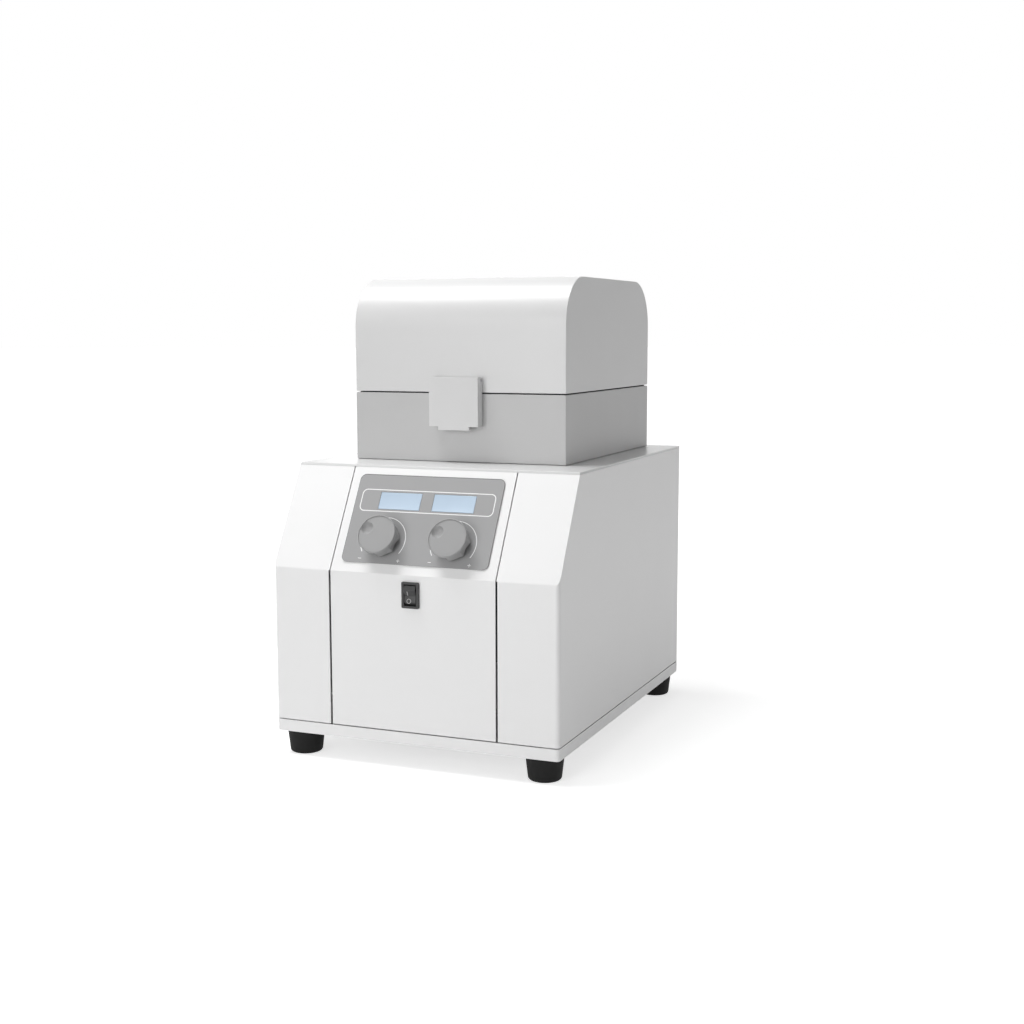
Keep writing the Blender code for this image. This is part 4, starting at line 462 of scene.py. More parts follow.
ALUMINIUM = Metal(
    "machined_aluminium", "aluminium", (0.72, 0.72, 0.74), 0.34,
    tone=Pattern(0.4 * MM, 3.0, stretch=(1.0, 0.1, 1.0)), depth=0.4 * MM / 60,
)
ZINC = ZincSheet("zinc_plate", "zinc_steel", (0.60, 0.60, 0.58), 0.4)
BRASS = Metal("turned_brass", "brass", (0.70, 0.52, 0.24), 0.35)
WHITE_INK = Ink("white_ink", "overlay_film", (0.86, 0.86, 0.86), 0.55)
# Painted shade: a dark line round the film's edge, standing in for the shaded wall of a recess, laid down with the
# ink finish.
PAINTED_RECESS_SHADE = Ink("painted_recess_shade", "overlay_film", (0.1, 0.1, 0.1), 0.55)
SWITCH_INK = Ink("switch_ink", "switch_plastic", (0.42, 0.42, 0.42), 0.5)


# Making and fitting pieces


def fitted(
    name: str, bm: Mesh, finish: Finish, body: str = "housing", replaced: Sequence[str] = ()
) -> Piece:
    """Turn a bmesh into a finished object on its body, in place of the nodes it stands for.

    Args:
        name: The object's name.
        bm: The mesh, which is freed.
        finish: Its finish.
        body: Name of the body it rides on.
        replaced: Nodes it stands for.

    Returns:
        The new object, at the origin.
    """
    mesh = bpy.data.meshes.new(name)
    bm.to_mesh(mesh)
    bm.free()
    mesh.shade_smooth()
    mesh.set_sharp_from_angle(angle=SHARP_ANGLE)
    mesh.materials.append(finish.material())
    item = bpy.data.objects.new(name, mesh)
    bpy.context.scene.collection.objects.link(item)
    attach(item, body)
    if replaced:
        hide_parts(*replaced)
    return item


def rounded(
    item: Piece, width: float, segments: int = 2, limit: Rounding = Rounding.SHARP
) -> Piece:
    """Round an object's edges.

    Args:
        item: The object.
        width: Width of the rounding.
        segments: Facets across it.
        limit: Which of its edges are rounded.

    Returns:
        The same object.
    """
    edge = item.modifiers.new("edge", "BEVEL")
    edge.width = width
    edge.segments = segments
    edge.limit_method = limit.value
    edge.angle_limit = SHARP_ANGLE
    edge.harden_normals = True
    return item


def welded(node: str, border: bool = False) -> Mesh:
    """A merged copy of a node's mesh, with its flat faces whole.

    Args:
        node: The node's name.
        border: Whether its large faces get a narrow border, which keeps them flat beside rounded corners.

    Returns:
        The copy.
    """
    bm = bmesh.new()
    bm.from_mesh(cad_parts[node].data)
    bmesh.ops.remove_doubles(bm, verts=bm.verts[:], dist=WELD)
    bmesh.ops.dissolve_limit(bm, angle_limit=FLAT_ANGLE, verts=bm.verts[:], edges=bm.edges[:])
    if border:
        large = [face for face in bm.faces if face.calc_area() > LARGE_FACE]
        bmesh.ops.inset_individual(bm, faces=large, thickness=BORDER)
    return bm


def refined(
    node: str, finish: Finish, width: float, body: str = "housing", segments: int = 2, border: bool = False
) -> Piece:
    """A node's own shape with its sharp edges rounded, in place of the node.

    Args:
        node: The node's name.
        finish: The surface finish.
        width: Width of the rounding.
        body: Name of the body it rides on.
        segments: Facets across it.
        border: Whether its large faces get a border.

    Returns:
        The new object.
    """
    item = fitted(f"{node}_surface", welded(node, border), finish, body, (node,))
    return rounded(item, width, segments)


def dressed(finish: Finish, *nodes: str) -> list[Piece]:
    """Give nodes that keep their own meshes their finish.

    Args:
        finish: The surface finish.
        *nodes: The nodes' names.

    Returns:
        The nodes' objects.
    """
    items = [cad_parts[node] for node in nodes]
    for item in items:
        item.data.materials.clear()
        item.data.materials.append(finish.material())
    return items


def spun(profile: Sequence[Point], steps: int, angle: float = math.tau) -> Mesh:
    """Turn a profile about the Z axis.

    Args:
        profile: Points (reach, level), in order.
        steps: Facets round the turn.
        angle: How far it turns, from the X axis.

    Returns:
        The turned mesh, closed, its normals outwards.
    """
    bm = bmesh.new()
    verts = [bm.verts.new((reach, 0, level)) for reach, level in profile]
    edges = [bm.edges.new(pair) for pair in zip(verts, verts[1:])]
    whole = angle > math.tau - DEGREE
    bmesh.ops.spin(
        bm, geom=verts + edges, cent=(0, 0, 0), axis=(0, 0, 1), angle=angle, steps=steps, use_merge=whole
    )
    bmesh.ops.remove_doubles(bm, verts=bm.verts[:], dist=WELD / 10)
    if not whole:
        bmesh.ops.holes_fill(bm, edges=[edge for edge in bm.edges if edge.is_boundary])
    bmesh.ops.recalc_face_normals(bm, faces=bm.faces[:])
    return bm


def arc_profile(centre: Point, radius: float, start: float, end: float, steps: int) -> list[Point]:
    """Points along an arc, for a profile.

    Args:
        centre: Its centre.
        radius: Its radius.
        start: First angle.
        end: Last angle.
        steps: Stretches between the points.

    Returns:
        The points, both ends among them.
    """
    angles = [start + (end - start) * step / steps for step in range(steps + 1)]
    return [(centre[0] + radius * math.cos(a), centre[1] + radius * math.sin(a)) for a in angles]


def rectangle(size: Point) -> Mesh:
    """A flat face of a width and a height in the XY plane.

    Args:
        size: Its width and height.

    Returns:
        The face.
    """
    bm = bmesh.new()
    bmesh.ops.create_grid(bm, x_segments=1, y_segments=1, size=0.5)
    bmesh.ops.scale(bm, vec=(*size, 1), verts=bm.verts[:])
    return bm


def round_corners(bm: Mesh, verts: list[bmesh.types.BMVert], radius: float, steps: int) -> None:
    """Round a flat face's corners.

    Args:
        bm: The face's mesh, changed in place.
        verts: The corners.
        radius: Their radius.
        steps: Facets across each.
    """
    bmesh.ops.bevel(
        bm, geom=verts, offset=radius, offset_type="OFFSET", segments=steps, profile=ROUND_PROFILE,
        affect="VERTICES", material=-1,
    )


def extruded(bm: Mesh, shift: Sequence[float]) -> Mesh:
    """Give flat faces a depth.

    Args:
        bm: Their mesh.
        shift: How far it goes, along each axis.

    Returns:
        The same mesh, closed, its normals outwards.
    """
    made = bmesh.ops.extrude_face_region(bm, geom=bm.faces[:], use_keep_orig=True)
    far = [item for item in made["geom"] if isinstance(item, bmesh.types.BMVert)]
    bmesh.ops.translate(bm, vec=shift, verts=far)
    bmesh.ops.recalc_face_normals(bm, faces=bm.faces[:])
    return bm


def moved(bm: Mesh, place: Matrix) -> Mesh:
    """Carry a mesh to its place and return it."""
    bmesh.ops.transform(bm, matrix=place, verts=bm.verts[:])
    return bm


def print_frame(size: Point, radius: float, line: float, shift: Point = (0, 0)) -> Mesh:
    """A thin printed frame in the XY plane, with rounded corners.

    Args:
        size: Its width and height, outside.
        radius: Radius of its corners.
        line: Width of its line.
        shift: Offset of its inner outline, which makes one side's line wider.

    Returns:
        The frame.
    """
    bm = rectangle(size)
    round_corners(bm, bm.verts[:], radius, FRAME_CORNER_STEPS)
    middle = bm.faces[:]
    bmesh.ops.inset_region(bm, faces=middle, thickness=line, use_boundary=True)
    bmesh.ops.translate(bm, vec=(*shift, 0), verts=list({vert for face in middle for vert in face.verts}))
    bmesh.ops.delete(bm, geom=middle, context="FACES_KEEP_BOUNDARY")
    return extruded(bm, INK)


def print_bar(size: Point, place: Point) -> Mesh:
    """A thin printed bar in the XY plane, of a width and a height, round a place."""
    return moved(extruded(rectangle(size), INK), Matrix.Translation((*place, 0)))


def print_arc(radius: float, line: float, steps: int, angle: float = math.tau) -> Mesh:
    """A thin printed arc in the XY plane.

    Args:
        radius: Radius of its line's middle.
        line: Width of its line.
        steps: Facets round it.
        angle: How far it runs, from the X axis.

    Returns:
        The arc.
    """
    inner, outer, thick = radius - line / 2, radius + line / 2, INK[2]
    return spun([(inner, 0), (outer, 0), (outer, thick), (inner, thick), (inner, 0)], steps, angle)


def merged(parts: Iterable[Mesh]) -> Mesh:
    """Put several meshes into one.

    Args:
        parts: The meshes, which are freed.

    Returns:
        One mesh that holds them all.
    """
    whole = bmesh.new()
    for part in parts:
        carrier = bpy.data.meshes.new("carrier")
        part.to_mesh(carrier)
        part.free()
        whole.from_mesh(carrier)
        bpy.data.meshes.remove(carrier)
    return whole


def middle_of(node: str) -> Vector:
    """The middle of a node's box."""
    low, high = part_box(node)
    return (Vector(low) + Vector(high)) / 2


# Housing


@dataclass
class Housing:
    """The folded white cabinet, its tray and its four feet.

    Attributes:
        edge: Rounding of the folded sheet's edges, paint included.
        tray_edge: Rounding of the tray's edges.
        roof_seam: Levels between which the edges stay crisp, so that the roof sheet's seam stays closed.
        foot_top: Radius of a foot at the tray.
        foot_bottom: Radius of a foot at the bench.
        foot_height: Height of a foot.
        foot_edge: Rounding of a foot's lower edge.
        foot_lip: Width of its small chamfers.
        foot_steps: Facets round it.
        recess: Radius and depth of the screw recess under a foot.
    """

    edge: float = 0.35 * MM
    tray_edge: float = 0.5 * MM
    roof_seam: Point = (237.0 * MM, 237.7 * MM)
    foot_top: float = 15.5 * MM
    foot_bottom: float = 13.25 * MM
    foot_height: float = 19.7 * MM
    foot_edge: float = 2.5 * MM
    foot_lip: float = 0.4 * MM
    foot_steps: int = 48
    recess: Point = (5 * MM, 11 * MM)

    def sheet(self, name: str, finish: Finish = WHITE_COAT, border: bool = False) -> Piece:
        """One painted sheet, its edges rounded except along the roof's seam.

        Args:
            name: The node it stands for.
            finish: Its finish.
            border: Whether its large faces get a border.

        Returns:
            The new object.
        """
        bm = welded(name, border)
        low, high = self.roof_seam
        mark = bm.edges.layers.float.new("bevel_weight_edge")
        for edge in bm.edges:
            in_seam = all(low < vert.co.z < high for vert in edge.verts)
            edge[mark] = float(not in_seam and edge.calc_face_angle(0) > SHARP_ANGLE)
        item = fitted(f"{name}_surface", bm, finish, "housing", (name,))
        return rounded(item, self.edge, 2, Rounding.MARKED)

    def foot_profile(self) -> list[Point]:
        """A foot's profile, from the middle of its top to the middle of its recess.

        Returns:
            Points (reach, level).
        """
        slant = (self.foot_top - self.foot_bottom) / self.foot_height
        edge = arc_profile((0, self.foot_edge), self.foot_edge, 0, -math.pi / 2, 6)
        lower = [(self.foot_bottom - self.foot_edge + x + slant * level, level) for x, level in edge]
        radius, depth = self.recess
        top, lip = self.foot_height, self.foot_lip
        return [
            (0, top), (self.foot_top - lip, top), (self.foot_top, top - lip), *lower,
            (radius + lip, 0), (radius, lip), (radius, depth), (0, depth),
        ]

    def foot(self, name: str) -> Piece:
        """One foot.

        Args:
            name: The node it stands for.

        Returns:
            The new object.
        """
        middle = middle_of(name)
        bm = moved(spun(self.foot_profile(), self.foot_steps), Matrix.Translation((middle.x, middle.y, 0)))
        return fitted(f"{name}_surface", bm, FOOT_RUBBER, "housing", (name,))

    def build(self) -> list[Piece]:
        """Make the housing's pieces.

        Returns:
            The new objects.
        """
        made = [self.foot(f"{end}_{side.word}_foot") for end in ("front", "rear") for side in Side]
        made += [self.sheet(name) for name in ("front_panel", "rear_panel")]
        made += [self.sheet(f"{side.word}_side_cover", border=True) for side in Side]
        # The roof's greyer coat is painted shade.
        made.append(self.sheet("top_plate", ROOF_SHADE_COAT))
        return [*made, refined("base_tray", WHITE_COAT, self.tray_edge, border=True)]


# Control panel


@dataclass
class ControlPanel:
    """The sloping panel's film, its two displays, its knobs, its prints and a line of painted shade at the film's
    edge.

    Lengths run across the slope (x), up the slope (v) and out of it (h), from the slope's lower edge.

    Attributes:
        front: Depth of the housing's front face.
        knee: Level of the slope's lower edge.
        slope: How far the slope lies back from the front face's plane, as a turn about X.
        film_face: Height of the film's face over the sheet.
        film_bevel: Rounding of the film's edges.
        film_radius: Radius of the film's corners.
        film_line: Widths of the line of painted shade at the film's sides and along its upper edge.
        display_rise: Height of the displays up the slope.
        display_rim: Width of a display's rim.
        display_sink: How far its window lies below the rim.
        display_edge: Rounding of its edges.
        frame_size: Width and height of the printed frame round the displays.
        frame_radius: Radius of its corners.
        frame_line: Width of its line.
        knob_place: Offset of each knob from the middle, and its distance up the slope.
        scale_radius: Radius of the printed arc round a knob.
        scale_line: Width of its line.
        scale_span: First angle of the arc, and how far it runs round.
        scale_steps: Facets round it.
        sign: Length and width of the bars of the minus and plus signs.
        minus_place: Place of the minus sign from the knob's middle.
        plus_place: Place of the plus sign from the knob's middle.
    """

    front: float = -165 * MM
    knee: float = 157.4 * MM
    slope: float = 60.21 * DEGREE
    film_face: float = 0.8 * MM
    film_bevel: float = 0.15 * MM
    film_radius: float = 5 * MM
    film_line: Point = (0.25 * MM, 0.45 * MM)
    display_rise: float = 62.7 * MM
    display_rim: float = 0.7 * MM
    display_sink: float = 0.175 * MM
    display_edge: float = 0.12 * MM
    frame_size: Point = (118.7 * MM, 19.6 * MM)
    frame_radius: float = 4.5 * MM
    frame_line: float = 0.8 * MM
    knob_place: Point = (31 * MM, 28.3 * MM)
    scale_radius: float = 19.6 * MM
    scale_line: float = 0.7 * MM
    scale_span: Point = (-33 * DEGREE, 246 * DEGREE)
    scale_steps: int = 72
    sign: Point = (2.9 * MM, 0.5 * MM)
    minus_place: Point = (-17.2 * MM, -16.5 * MM)
    plus_place: Point = (17.2 * MM, -17 * MM)

    def place(self, across: float, along: float, out: float) -> Matrix:
        """Matrix that carries a piece made at the origin onto the panel.

        Args:
            across: Offset to the user's right.
            along: Distance up the slope.
            out: Height over the sheet.

        Returns:
            The matrix.
        """
        panel = Matrix.Translation((0, self.front, self.knee)) @ Matrix.Rotation(self.slope, 4, "X")
        return panel @ Matrix.Translation((across, along, out))

    def knob(self, side: Side, out: float) -> Matrix:
        """Matrix that carries a piece onto one knob's place, at a height over the sheet."""
        spread, rise = self.knob_place
        return self.place(side.value * spread, rise, out)

    def display(self, side: Side) -> Piece:
        """One display: a rim with the window sunk a little inside it.

        Args:
            side: Which display.

        Returns:
            The new object.
        """
        node = f"{side.word}_display"
        bm = welded(node)
        outwards = self.place(0, 0, 0).to_3x3() @ Vector((0, 0, 1))
        faces = [face for face in bm.faces if face.normal.dot(outwards) > FACING]
        top = max(faces, key=lambda face: face.calc_center_median().dot(outwards))
        bmesh.ops.inset_region(bm, faces=[top], thickness=self.display_rim, depth=-self.display_sink)
        return rounded(fitted(f"{node}_surface", bm, DISPLAY, "housing", (node,)), self.display_edge)

    def film_edge(self) -> Piece:
        """A line of painted shade at the film's edge, widest along its upper side, standing in for the shaded wall
        of a recess round the film.

        Returns:
            The new object.
        """
        bm = moved(welded("control_overlay"), self.place(0, 0, 0).inverted())
        across = max(vert.co.x for vert in bm.verts)
        levels = [vert.co.y for vert in bm.verts]
        bm.free()
        low, high = min(levels), max(levels)
        side, top = self.film_line
        ring = print_frame((2 * across, high - low), self.film_radius, side, (0, side - top))
        return fitted("film_edge_painted_shade", moved(ring, self.place(0, (low + high) / 2, self.film_face)), PAINTED_RECESS_SHADE)

    def display_frame(self) -> Piece:
        """The thin frame printed round both displays.

        Returns:
            The new object.
        """
        ring = print_frame(self.frame_size, self.frame_radius, self.frame_line)
        moved(ring, self.place(0, self.display_rise, self.film_face))
        return fitted("display_frame_print", ring, WHITE_INK)

    def knob_prints(self, side: Side) -> Piece:
        """The arc round one knob, with its minus and plus signs.

        Args:
            side: Which knob.

        Returns:
            The new object.
        """
        start, sweep = self.scale_span
        arc = print_arc(self.scale_radius, self.scale_line, self.scale_steps, sweep)
        parts = [moved(arc, Matrix.Rotation(start, 4, "Z"))]
        size, line = self.sign
        parts += [print_bar((size, line), place) for place in (self.minus_place, self.plus_place)]
        stub = (size - line) / 2
        across, along = self.plus_place
        parts += [print_bar((line, stub), (across, along + end * (line + stub) / 2)) for end in (-1, 1)]
        return fitted(f"{side.word}_knob_prints", moved(merged(parts), self.knob(side, self.film_face)), WHITE_INK)

    def build(self) -> list[Piece]:
        """Make the panel's pieces.

        Returns:
            The new objects.
        """
        made = [refined("control_overlay", GREY_FILM, self.film_bevel), self.film_edge(), self.display_frame()]
        for side in Side:
            made += [self.display(side), self.knob_prints(side), Knob(side, self).build()]
            for part, finish in (("body", BLACK_PLASTIC), ("rotor", BRASS), ("shaft", ALUMINIUM)):
                made += dressed(finish, f"{side.word}_encoder_{part}")
        return made + dressed(BOARD, "control_board")


@dataclass
class Knob:
    """A setting knob: a dished cap on a fluted skirt.

    Attributes:
        side: Which knob.
        panel: The panel it turns on.
        radius: Radius of the cap.
        face: Height of the cap's face over the sheet.
        cap: Thickness of the cap.
        hem: Height of the skirt's lower edge over the sheet.
        collar: Radius of the plain collar under the skirt.
        foot: Height of the collar's lower edge over the sheet.
        skirt: Radius of the skirt.
        flutes: Number of flutes.
        flute: Depths of a flute, shallow and deep by turns.
        ridge: Direction of the first ridge between two flutes.
        edge: Rounding of the cap's edge.
        rim: Width of the raised rim round the cap's face.
        dish: How far the face lies below the rim.
        recess: Radius and height of the hollow over the shaft's bush.
        bore: Radius of the bore for the shaft.
        dimple: Radius and depth of the finger dimple.
        dimple_place: Its distance and direction from the knob's middle.
        lip: Width of its small chamfers.
        rings: Rings of facets on its face.
        steps: Facets round the knob.
    """

    side: Side
    panel: ControlPanel
    radius: float = 16.2 * MM
    face: float = 14.8 * MM
    cap: float = 3.0 * MM
    hem: float = 3.0 * MM
    collar: float = 11 * MM
    foot: float = 2.1 * MM
    skirt: float = 15.4 * MM
    flutes: int = 8
    flute: Point = (0.9 * MM, 2.3 * MM)
    ridge: float = 5 * DEGREE
    edge: float = 0.6 * MM
    rim: float = 0.75 * MM
    dish: float = 0.6 * MM
    recess: Point = (7.5 * MM, 6 * MM)
    bore: float = 3.3 * MM
    dimple: Point = (5.1 * MM, 2.4 * MM)
    dimple_place: Point = (10.3 * MM, 154 * DEGREE)
    lip: float = 0.3 * MM
    rings: int = 36
    steps: int = 144

    def profile(self) -> list[Point]:
        """The knob's profile, from the middle of its face to the top of its bore.

        Returns:
            Points (reach, level).
        """
        flat = self.radius - self.rim
        under = self.face - self.cap
        face = [(flat * step / self.rings, self.face - self.dish) for step in range(self.rings + 1)]
        face.append((flat, self.face))
        edge = arc_profile((self.radius - self.edge, self.face - self.edge), self.edge, math.pi / 2, 0, 5)
        hollow, height = self.recess
        lip = self.lip
        return [
            *face, *edge, (self.radius, under + lip), (self.radius - lip, under), (self.skirt, under),
            (self.skirt, self.hem + lip), (self.skirt - lip, self.hem), (self.collar, self.hem),
            (self.collar, self.foot + lip), (self.collar - lip, self.foot), (hollow, self.foot),
            (hollow, height), (self.bore, height), (self.bore, under + lip), (0, under + lip),
        ]

    def flute_skirt(self, bm: Mesh) -> None:
        """Press the flutes into the skirt.

        Args:
            bm: The turned knob, changed in place.
        """
        under = self.face - self.cap
        for vert in bm.verts:
            reach = math.hypot(vert.co.x, vert.co.y)
            if vert.co.z > under + WELD or reach < self.skirt - 2 * self.edge:
                continue
            turn = math.atan2(vert.co.y, vert.co.x) - self.ridge
            dip = abs(math.sin(self.flutes * turn / 2))
            share = (reach - self.flute[math.floor(self.flutes * turn / math.tau) % 2] * dip) / reach
            vert.co.x *= share
            vert.co.y *= share

    def press_dimple(self, bm: Mesh) -> None:
        """Sink the finger dimple into the face.

        Args:
            bm: The turned knob, changed in place.
        """
        radius, depth = self.dimple
        reach, angle = self.dimple_place
        middle = Vector((reach * math.cos(angle), reach * math.sin(angle)))
        for vert in bm.verts:
            away = (vert.co.xy - middle).length / radius
            if away < 1 and abs(vert.co.z - self.face + self.dish) < WELD:
                vert.co.z -= depth * (1 - away**4)

    def build(self) -> Piece:
        """Make the knob.

        Returns:
            The new object.
        """
        bm = spun(self.profile(), self.steps)
        self.flute_skirt(bm)
        self.press_dimple(bm)
        moved(bm, self.panel.knob(self.side, 0))
        word = self.side.word
        return fitted(f"{word}_knob_surface", bm, KNOB_PLASTIC, f"{word}_dial", (f"{word}_knob",))


# Power switch


@dataclass
class PowerSwitch:
    """The rocker switch under the slope, with the bar and the ring printed on its rocker.

    Attributes:
        front: Depth of the housing's front face.
        level: Level of the switch's middle.
        edge: Rounding of its edges.
        pivot: Height of the rocker's pivot over the housing's front.
        tilt: Turn of the rocker at rest.
        valley: Height of the fold in the rocker's face over the pivot.
        slant: Angle of each half of the face.
        bar: Width, height and place of the printed bar.
        ring: Radius, line and place of the printed ring.
        ring_steps: Facets round it.
    """

    front: float = -165 * MM
    level: float = 141.9 * MM
    edge: float = 0.3 * MM
    pivot: float = -1.4 * MM
    tilt: float = 9 * DEGREE
    valley: float = 2.9 * MM
    slant: float = 17.74 * DEGREE
    bar: tuple[float, float, Point] = (0.55 * MM, 4.0 * MM, (-1.9 * MM, 2.1 * MM))
    ring: tuple[float, float, Point] = (1.7 * MM, 0.5 * MM, (-0.9 * MM, -4.2 * MM))
    ring_steps: int = 40

    def face(self, side: int) -> Matrix:
        """Matrix of one half of the rocker's face.

        Args:
            side: 1 for the upper half, -1 for the lower.

        Returns:
            The matrix: x across, y up from the fold, z out of the face.
        """
        front = Matrix.Translation((0, self.front, self.level)) @ Matrix.Rotation(math.pi / 2, 4, "X")
        axis = Matrix.Translation((0, 0, self.pivot)) @ Matrix.Rotation(self.tilt, 4, "X")
        fold = Matrix.Translation((0, 0, self.valley)) @ Matrix.Rotation(side * self.slant, 4, "X")
        return front @ axis @ fold

    def prints(self) -> Piece:
        """The bar and the ring.

        Returns:
            The new object.
        """
        width, height, place = self.bar
        bar = moved(print_bar((width, height), place), self.face(1))
        radius, line, place = self.ring
        ring = moved(print_arc(radius, line, self.ring_steps), self.face(-1) @ Matrix.Translation((*place, 0)))
        return fitted("rocker_prints", merged([bar, ring]), SWITCH_INK, "rocker")

    def build(self) -> list[Piece]:
        """Make the switch's pieces.

        Returns:
            The new objects.
        """
        bodies = {"switch_body": "housing", "switch_rocker": "rocker"}
        made = [refined(node, SWITCH_PLASTIC, self.edge, body) for node, body in bodies.items()]
        return [*made, self.prints()]


# Chamber, lid and latch


@dataclass
class Chamber:
    """The grinding chamber's box, grey partly of its own and partly as painted shade, and the seal in its rim,
    with the rounding of each.
    """

    box_edge: float = 0.6 * MM
    seal_edge: float = 0.4 * MM

    def build(self) -> list[Piece]:
        """Make the chamber's pieces and return them."""
        box = refined("chamber_body", CHAMBER_SHADED_PLASTIC, self.box_edge)
        return [box, refined("lid_gasket", FOOT_RUBBER, self.seal_edge)]


@dataclass
class Lid:
    """The hood: a bent shell with rounded top corners, closed by flat ends, and its two hinges.

    Attributes:
        width: Its size along X.
        depth: Places of its front and its rear face along Y.
        level: Levels of its rim and its top.
        radius: Radius of the top corners.
        wall: Thickness of the shell.
        edge: Rounding of its edges.
        hinge_edge: Rounding of the hinges' edges.
        steps: Facets across a rounded corner.
    """

    width: float = 192 * MM
    depth: Point = (-72.5 * MM, 151.5 * MM)
    level: Point = (298 * MM, 393.5 * MM)
    radius: float = 41 * MM
    wall: float = 4 * MM
    edge: float = 0.6 * MM
    hinge_edge: float = 0.3 * MM
    steps: int = 32

    def shell(self) -> Piece:
        """The hood's shell.

        Returns:
            The new object.
        """
        front, rear = self.depth
        bottom, top = self.level
        centre = Vector((-self.width / 2, (front + rear) / 2, (bottom + top) / 2))
        upright = Matrix.Rotation(math.pi / 2, 4, "Z") @ Matrix.Rotation(math.pi / 2, 4, "X")
        bm = moved(rectangle((rear - front, top - bottom)), Matrix.Translation(centre) @ upright)
        round_corners(bm, [vert for vert in bm.verts if vert.co.z > centre.z], self.radius, self.steps)
        extruded(bm, (self.width, 0, 0))
        rim = [face for face in bm.faces if face.calc_center_median().z < bottom + WELD]
        bmesh.ops.delete(bm, geom=rim, context="FACES_ONLY")
        item = fitted("lid_shell_surface", bm, LID_PLASTIC, "lid", ("lid_shell",))
        wall = item.modifiers.new("wall", "SOLIDIFY")
        wall.thickness = self.wall
        wall.offset = -1
        wall.use_even_offset = True
        return rounded(item, self.edge, 3)

    def build(self) -> list[Piece]:
        """Make the lid's pieces.

        Returns:
            The new objects.
        """
        made = [self.shell()]
        for side in Side:
            made += [
                refined(f"{side.word}_hinge_lower_leaf", CHAMBER_SHADED_PLASTIC, self.hinge_edge),
                refined(f"{side.word}_hinge_upper_leaf", LID_PLASTIC, self.hinge_edge, "lid"),
                *dressed(GROUND_STEEL, f"{side.word}_hinge_pin"),
            ]
        return made


@dataclass
class Latch:
    """The draw latch: its lever on the lid's bracket, and the strike on the chamber."""

    edge: float = 0.4 * MM

    def build(self) -> list[Piece]:
        """Make the latch's pieces.

        Returns:
            The new objects.
        """
        return [
            refined("latch_lever", LATCH_PLASTIC, self.edge, "latch"),
            refined("latch_bracket", LATCH_PLASTIC, self.edge, "lid"),
            refined("latch_strike", ZINC, self.edge),
            *dressed(GROUND_STEEL, "latch_pin"),
        ]


# Drive and rocking head


@dataclass
class Drive:
    """The motor with its stand, coupling, spindle and bearings, under the chamber's floor."""

    edge: float = 0.4 * MM

    def build(self) -> list[Piece]:
        """Make the drive's pieces.

        Returns:
            The new objects.
        """
        return [
            refined("spindle_housing", ALUMINIUM, self.edge),
            refined("inclined_hub", GROUND_STEEL, self.edge, "drive_spindle"),
            refined("floor_seal", FOOT_RUBBER, self.edge),
            refined("drive_stand", ZINC, self.edge),
            *dressed(MOTOR_COAT, "motor_body"),
            *dressed(ALUMINIUM, "shaft_coupling"),
            *dressed(GROUND_STEEL, "motor_shaft", "spindle", "lower_bearing", "upper_bearing"),
        ]


@dataclass
class RockingHead:
    """The tilted tube plate with its cover, its clamping knob and its anti-turn pin and fork."""

    edge: float = 0.35 * MM
    knob_edge: float = 1 * MM

    def build(self) -> list[Piece]:
        """Make the head's pieces.

        Returns:
            The new objects.
        """
        plates = {"tube_plate": ALUMINIUM, "tube_cover": ALUMINIUM, "clamp_stud": GROUND_STEEL}
        return [
            *(refined(node, finish, self.edge, "rocking_head") for node, finish in plates.items()),
            refined("clamp_knob", BLACK_PLASTIC, self.knob_edge, "clamp", 3),
            refined("anti_turn_fork", ZINC, self.edge),
            *dressed(GROUND_STEEL, "anti_turn_pin", "hub_bearing"),
        ]


# Rear fittings and electronics


@dataclass
class FanGuard:
    """Wire rings on two crossed arms over the fan's opening.

    Attributes:
        centre: Place of the fan's axis on the rear panel.
        arm_level: Depth of the arms' middle line.
        wire: Radius of the wire.
        rings: Radius of each ring.
        reach: Length of an arm from the middle.
        steps: Facets round a ring, round a ring's wire, round an arm and across its rounded end.
    """

    centre: Point = (0.0, 150 * MM)
    arm_level: float = 166.4 * MM
    wire: float = 1.1 * MM
    rings: tuple[float, ...] = (12 * MM, 20.6 * MM, 29.2 * MM, 37.8 * MM)
    reach: float = 46 * MM
    steps: tuple[int, int, int, int] = (96, 10, 12, 4)

    def ring(self, radius: float) -> Mesh:
        """One wire ring of a radius, lying on the arms and facing up."""
        return spun(arc_profile((radius, self.wire), self.wire, 0, math.tau, self.steps[1]), self.steps[0])

    def arm(self, turn: float) -> Mesh:
        """One straight wire across the rings, with rounded ends.

        Args:
            turn: Its direction.

        Returns:
            The wire, lying flat.
        """
        cap = arc_profile((0, self.reach - self.wire), self.wire, math.pi / 2, 0, self.steps[3])
        bm = spun(cap + [(x, -z) for x, z in reversed(cap)], self.steps[2])
        return moved(bm, Matrix.Rotation(turn, 4, "Z") @ Matrix.Rotation(math.pi / 2, 4, "X"))

    def build(self) -> Piece:
        """Make the guard.

        Returns:
            The new object.
        """
        parts = [self.ring(radius) for radius in self.rings]
        parts += [self.arm(end * math.pi / 4) for end in (-1, 1)]
        across, level = self.centre
        place = Matrix.Translation((across, self.arm_level, level)) @ Matrix.Rotation(-math.pi / 2, 4, "X")
        return fitted("fan_guard_wires", moved(merged(parts), place), GROUND_STEEL, "housing", ("fan_guard",))


@dataclass
class RearFittings:
    """The mains inlet and the fan on the rear panel."""

    edge: float = 0.4 * MM
    blade_edge: float = 0.2 * MM

    def build(self) -> list[Piece]:
        """Make the rear fittings and return them."""
        made = [refined(node, BLACK_PLASTIC, self.edge) for node in ("power_inlet", "fan_frame")]
        return [*made, refined("fan_rotor", BLACK_PLASTIC, self.blade_edge, "fan_wheel"), FanGuard().build()]


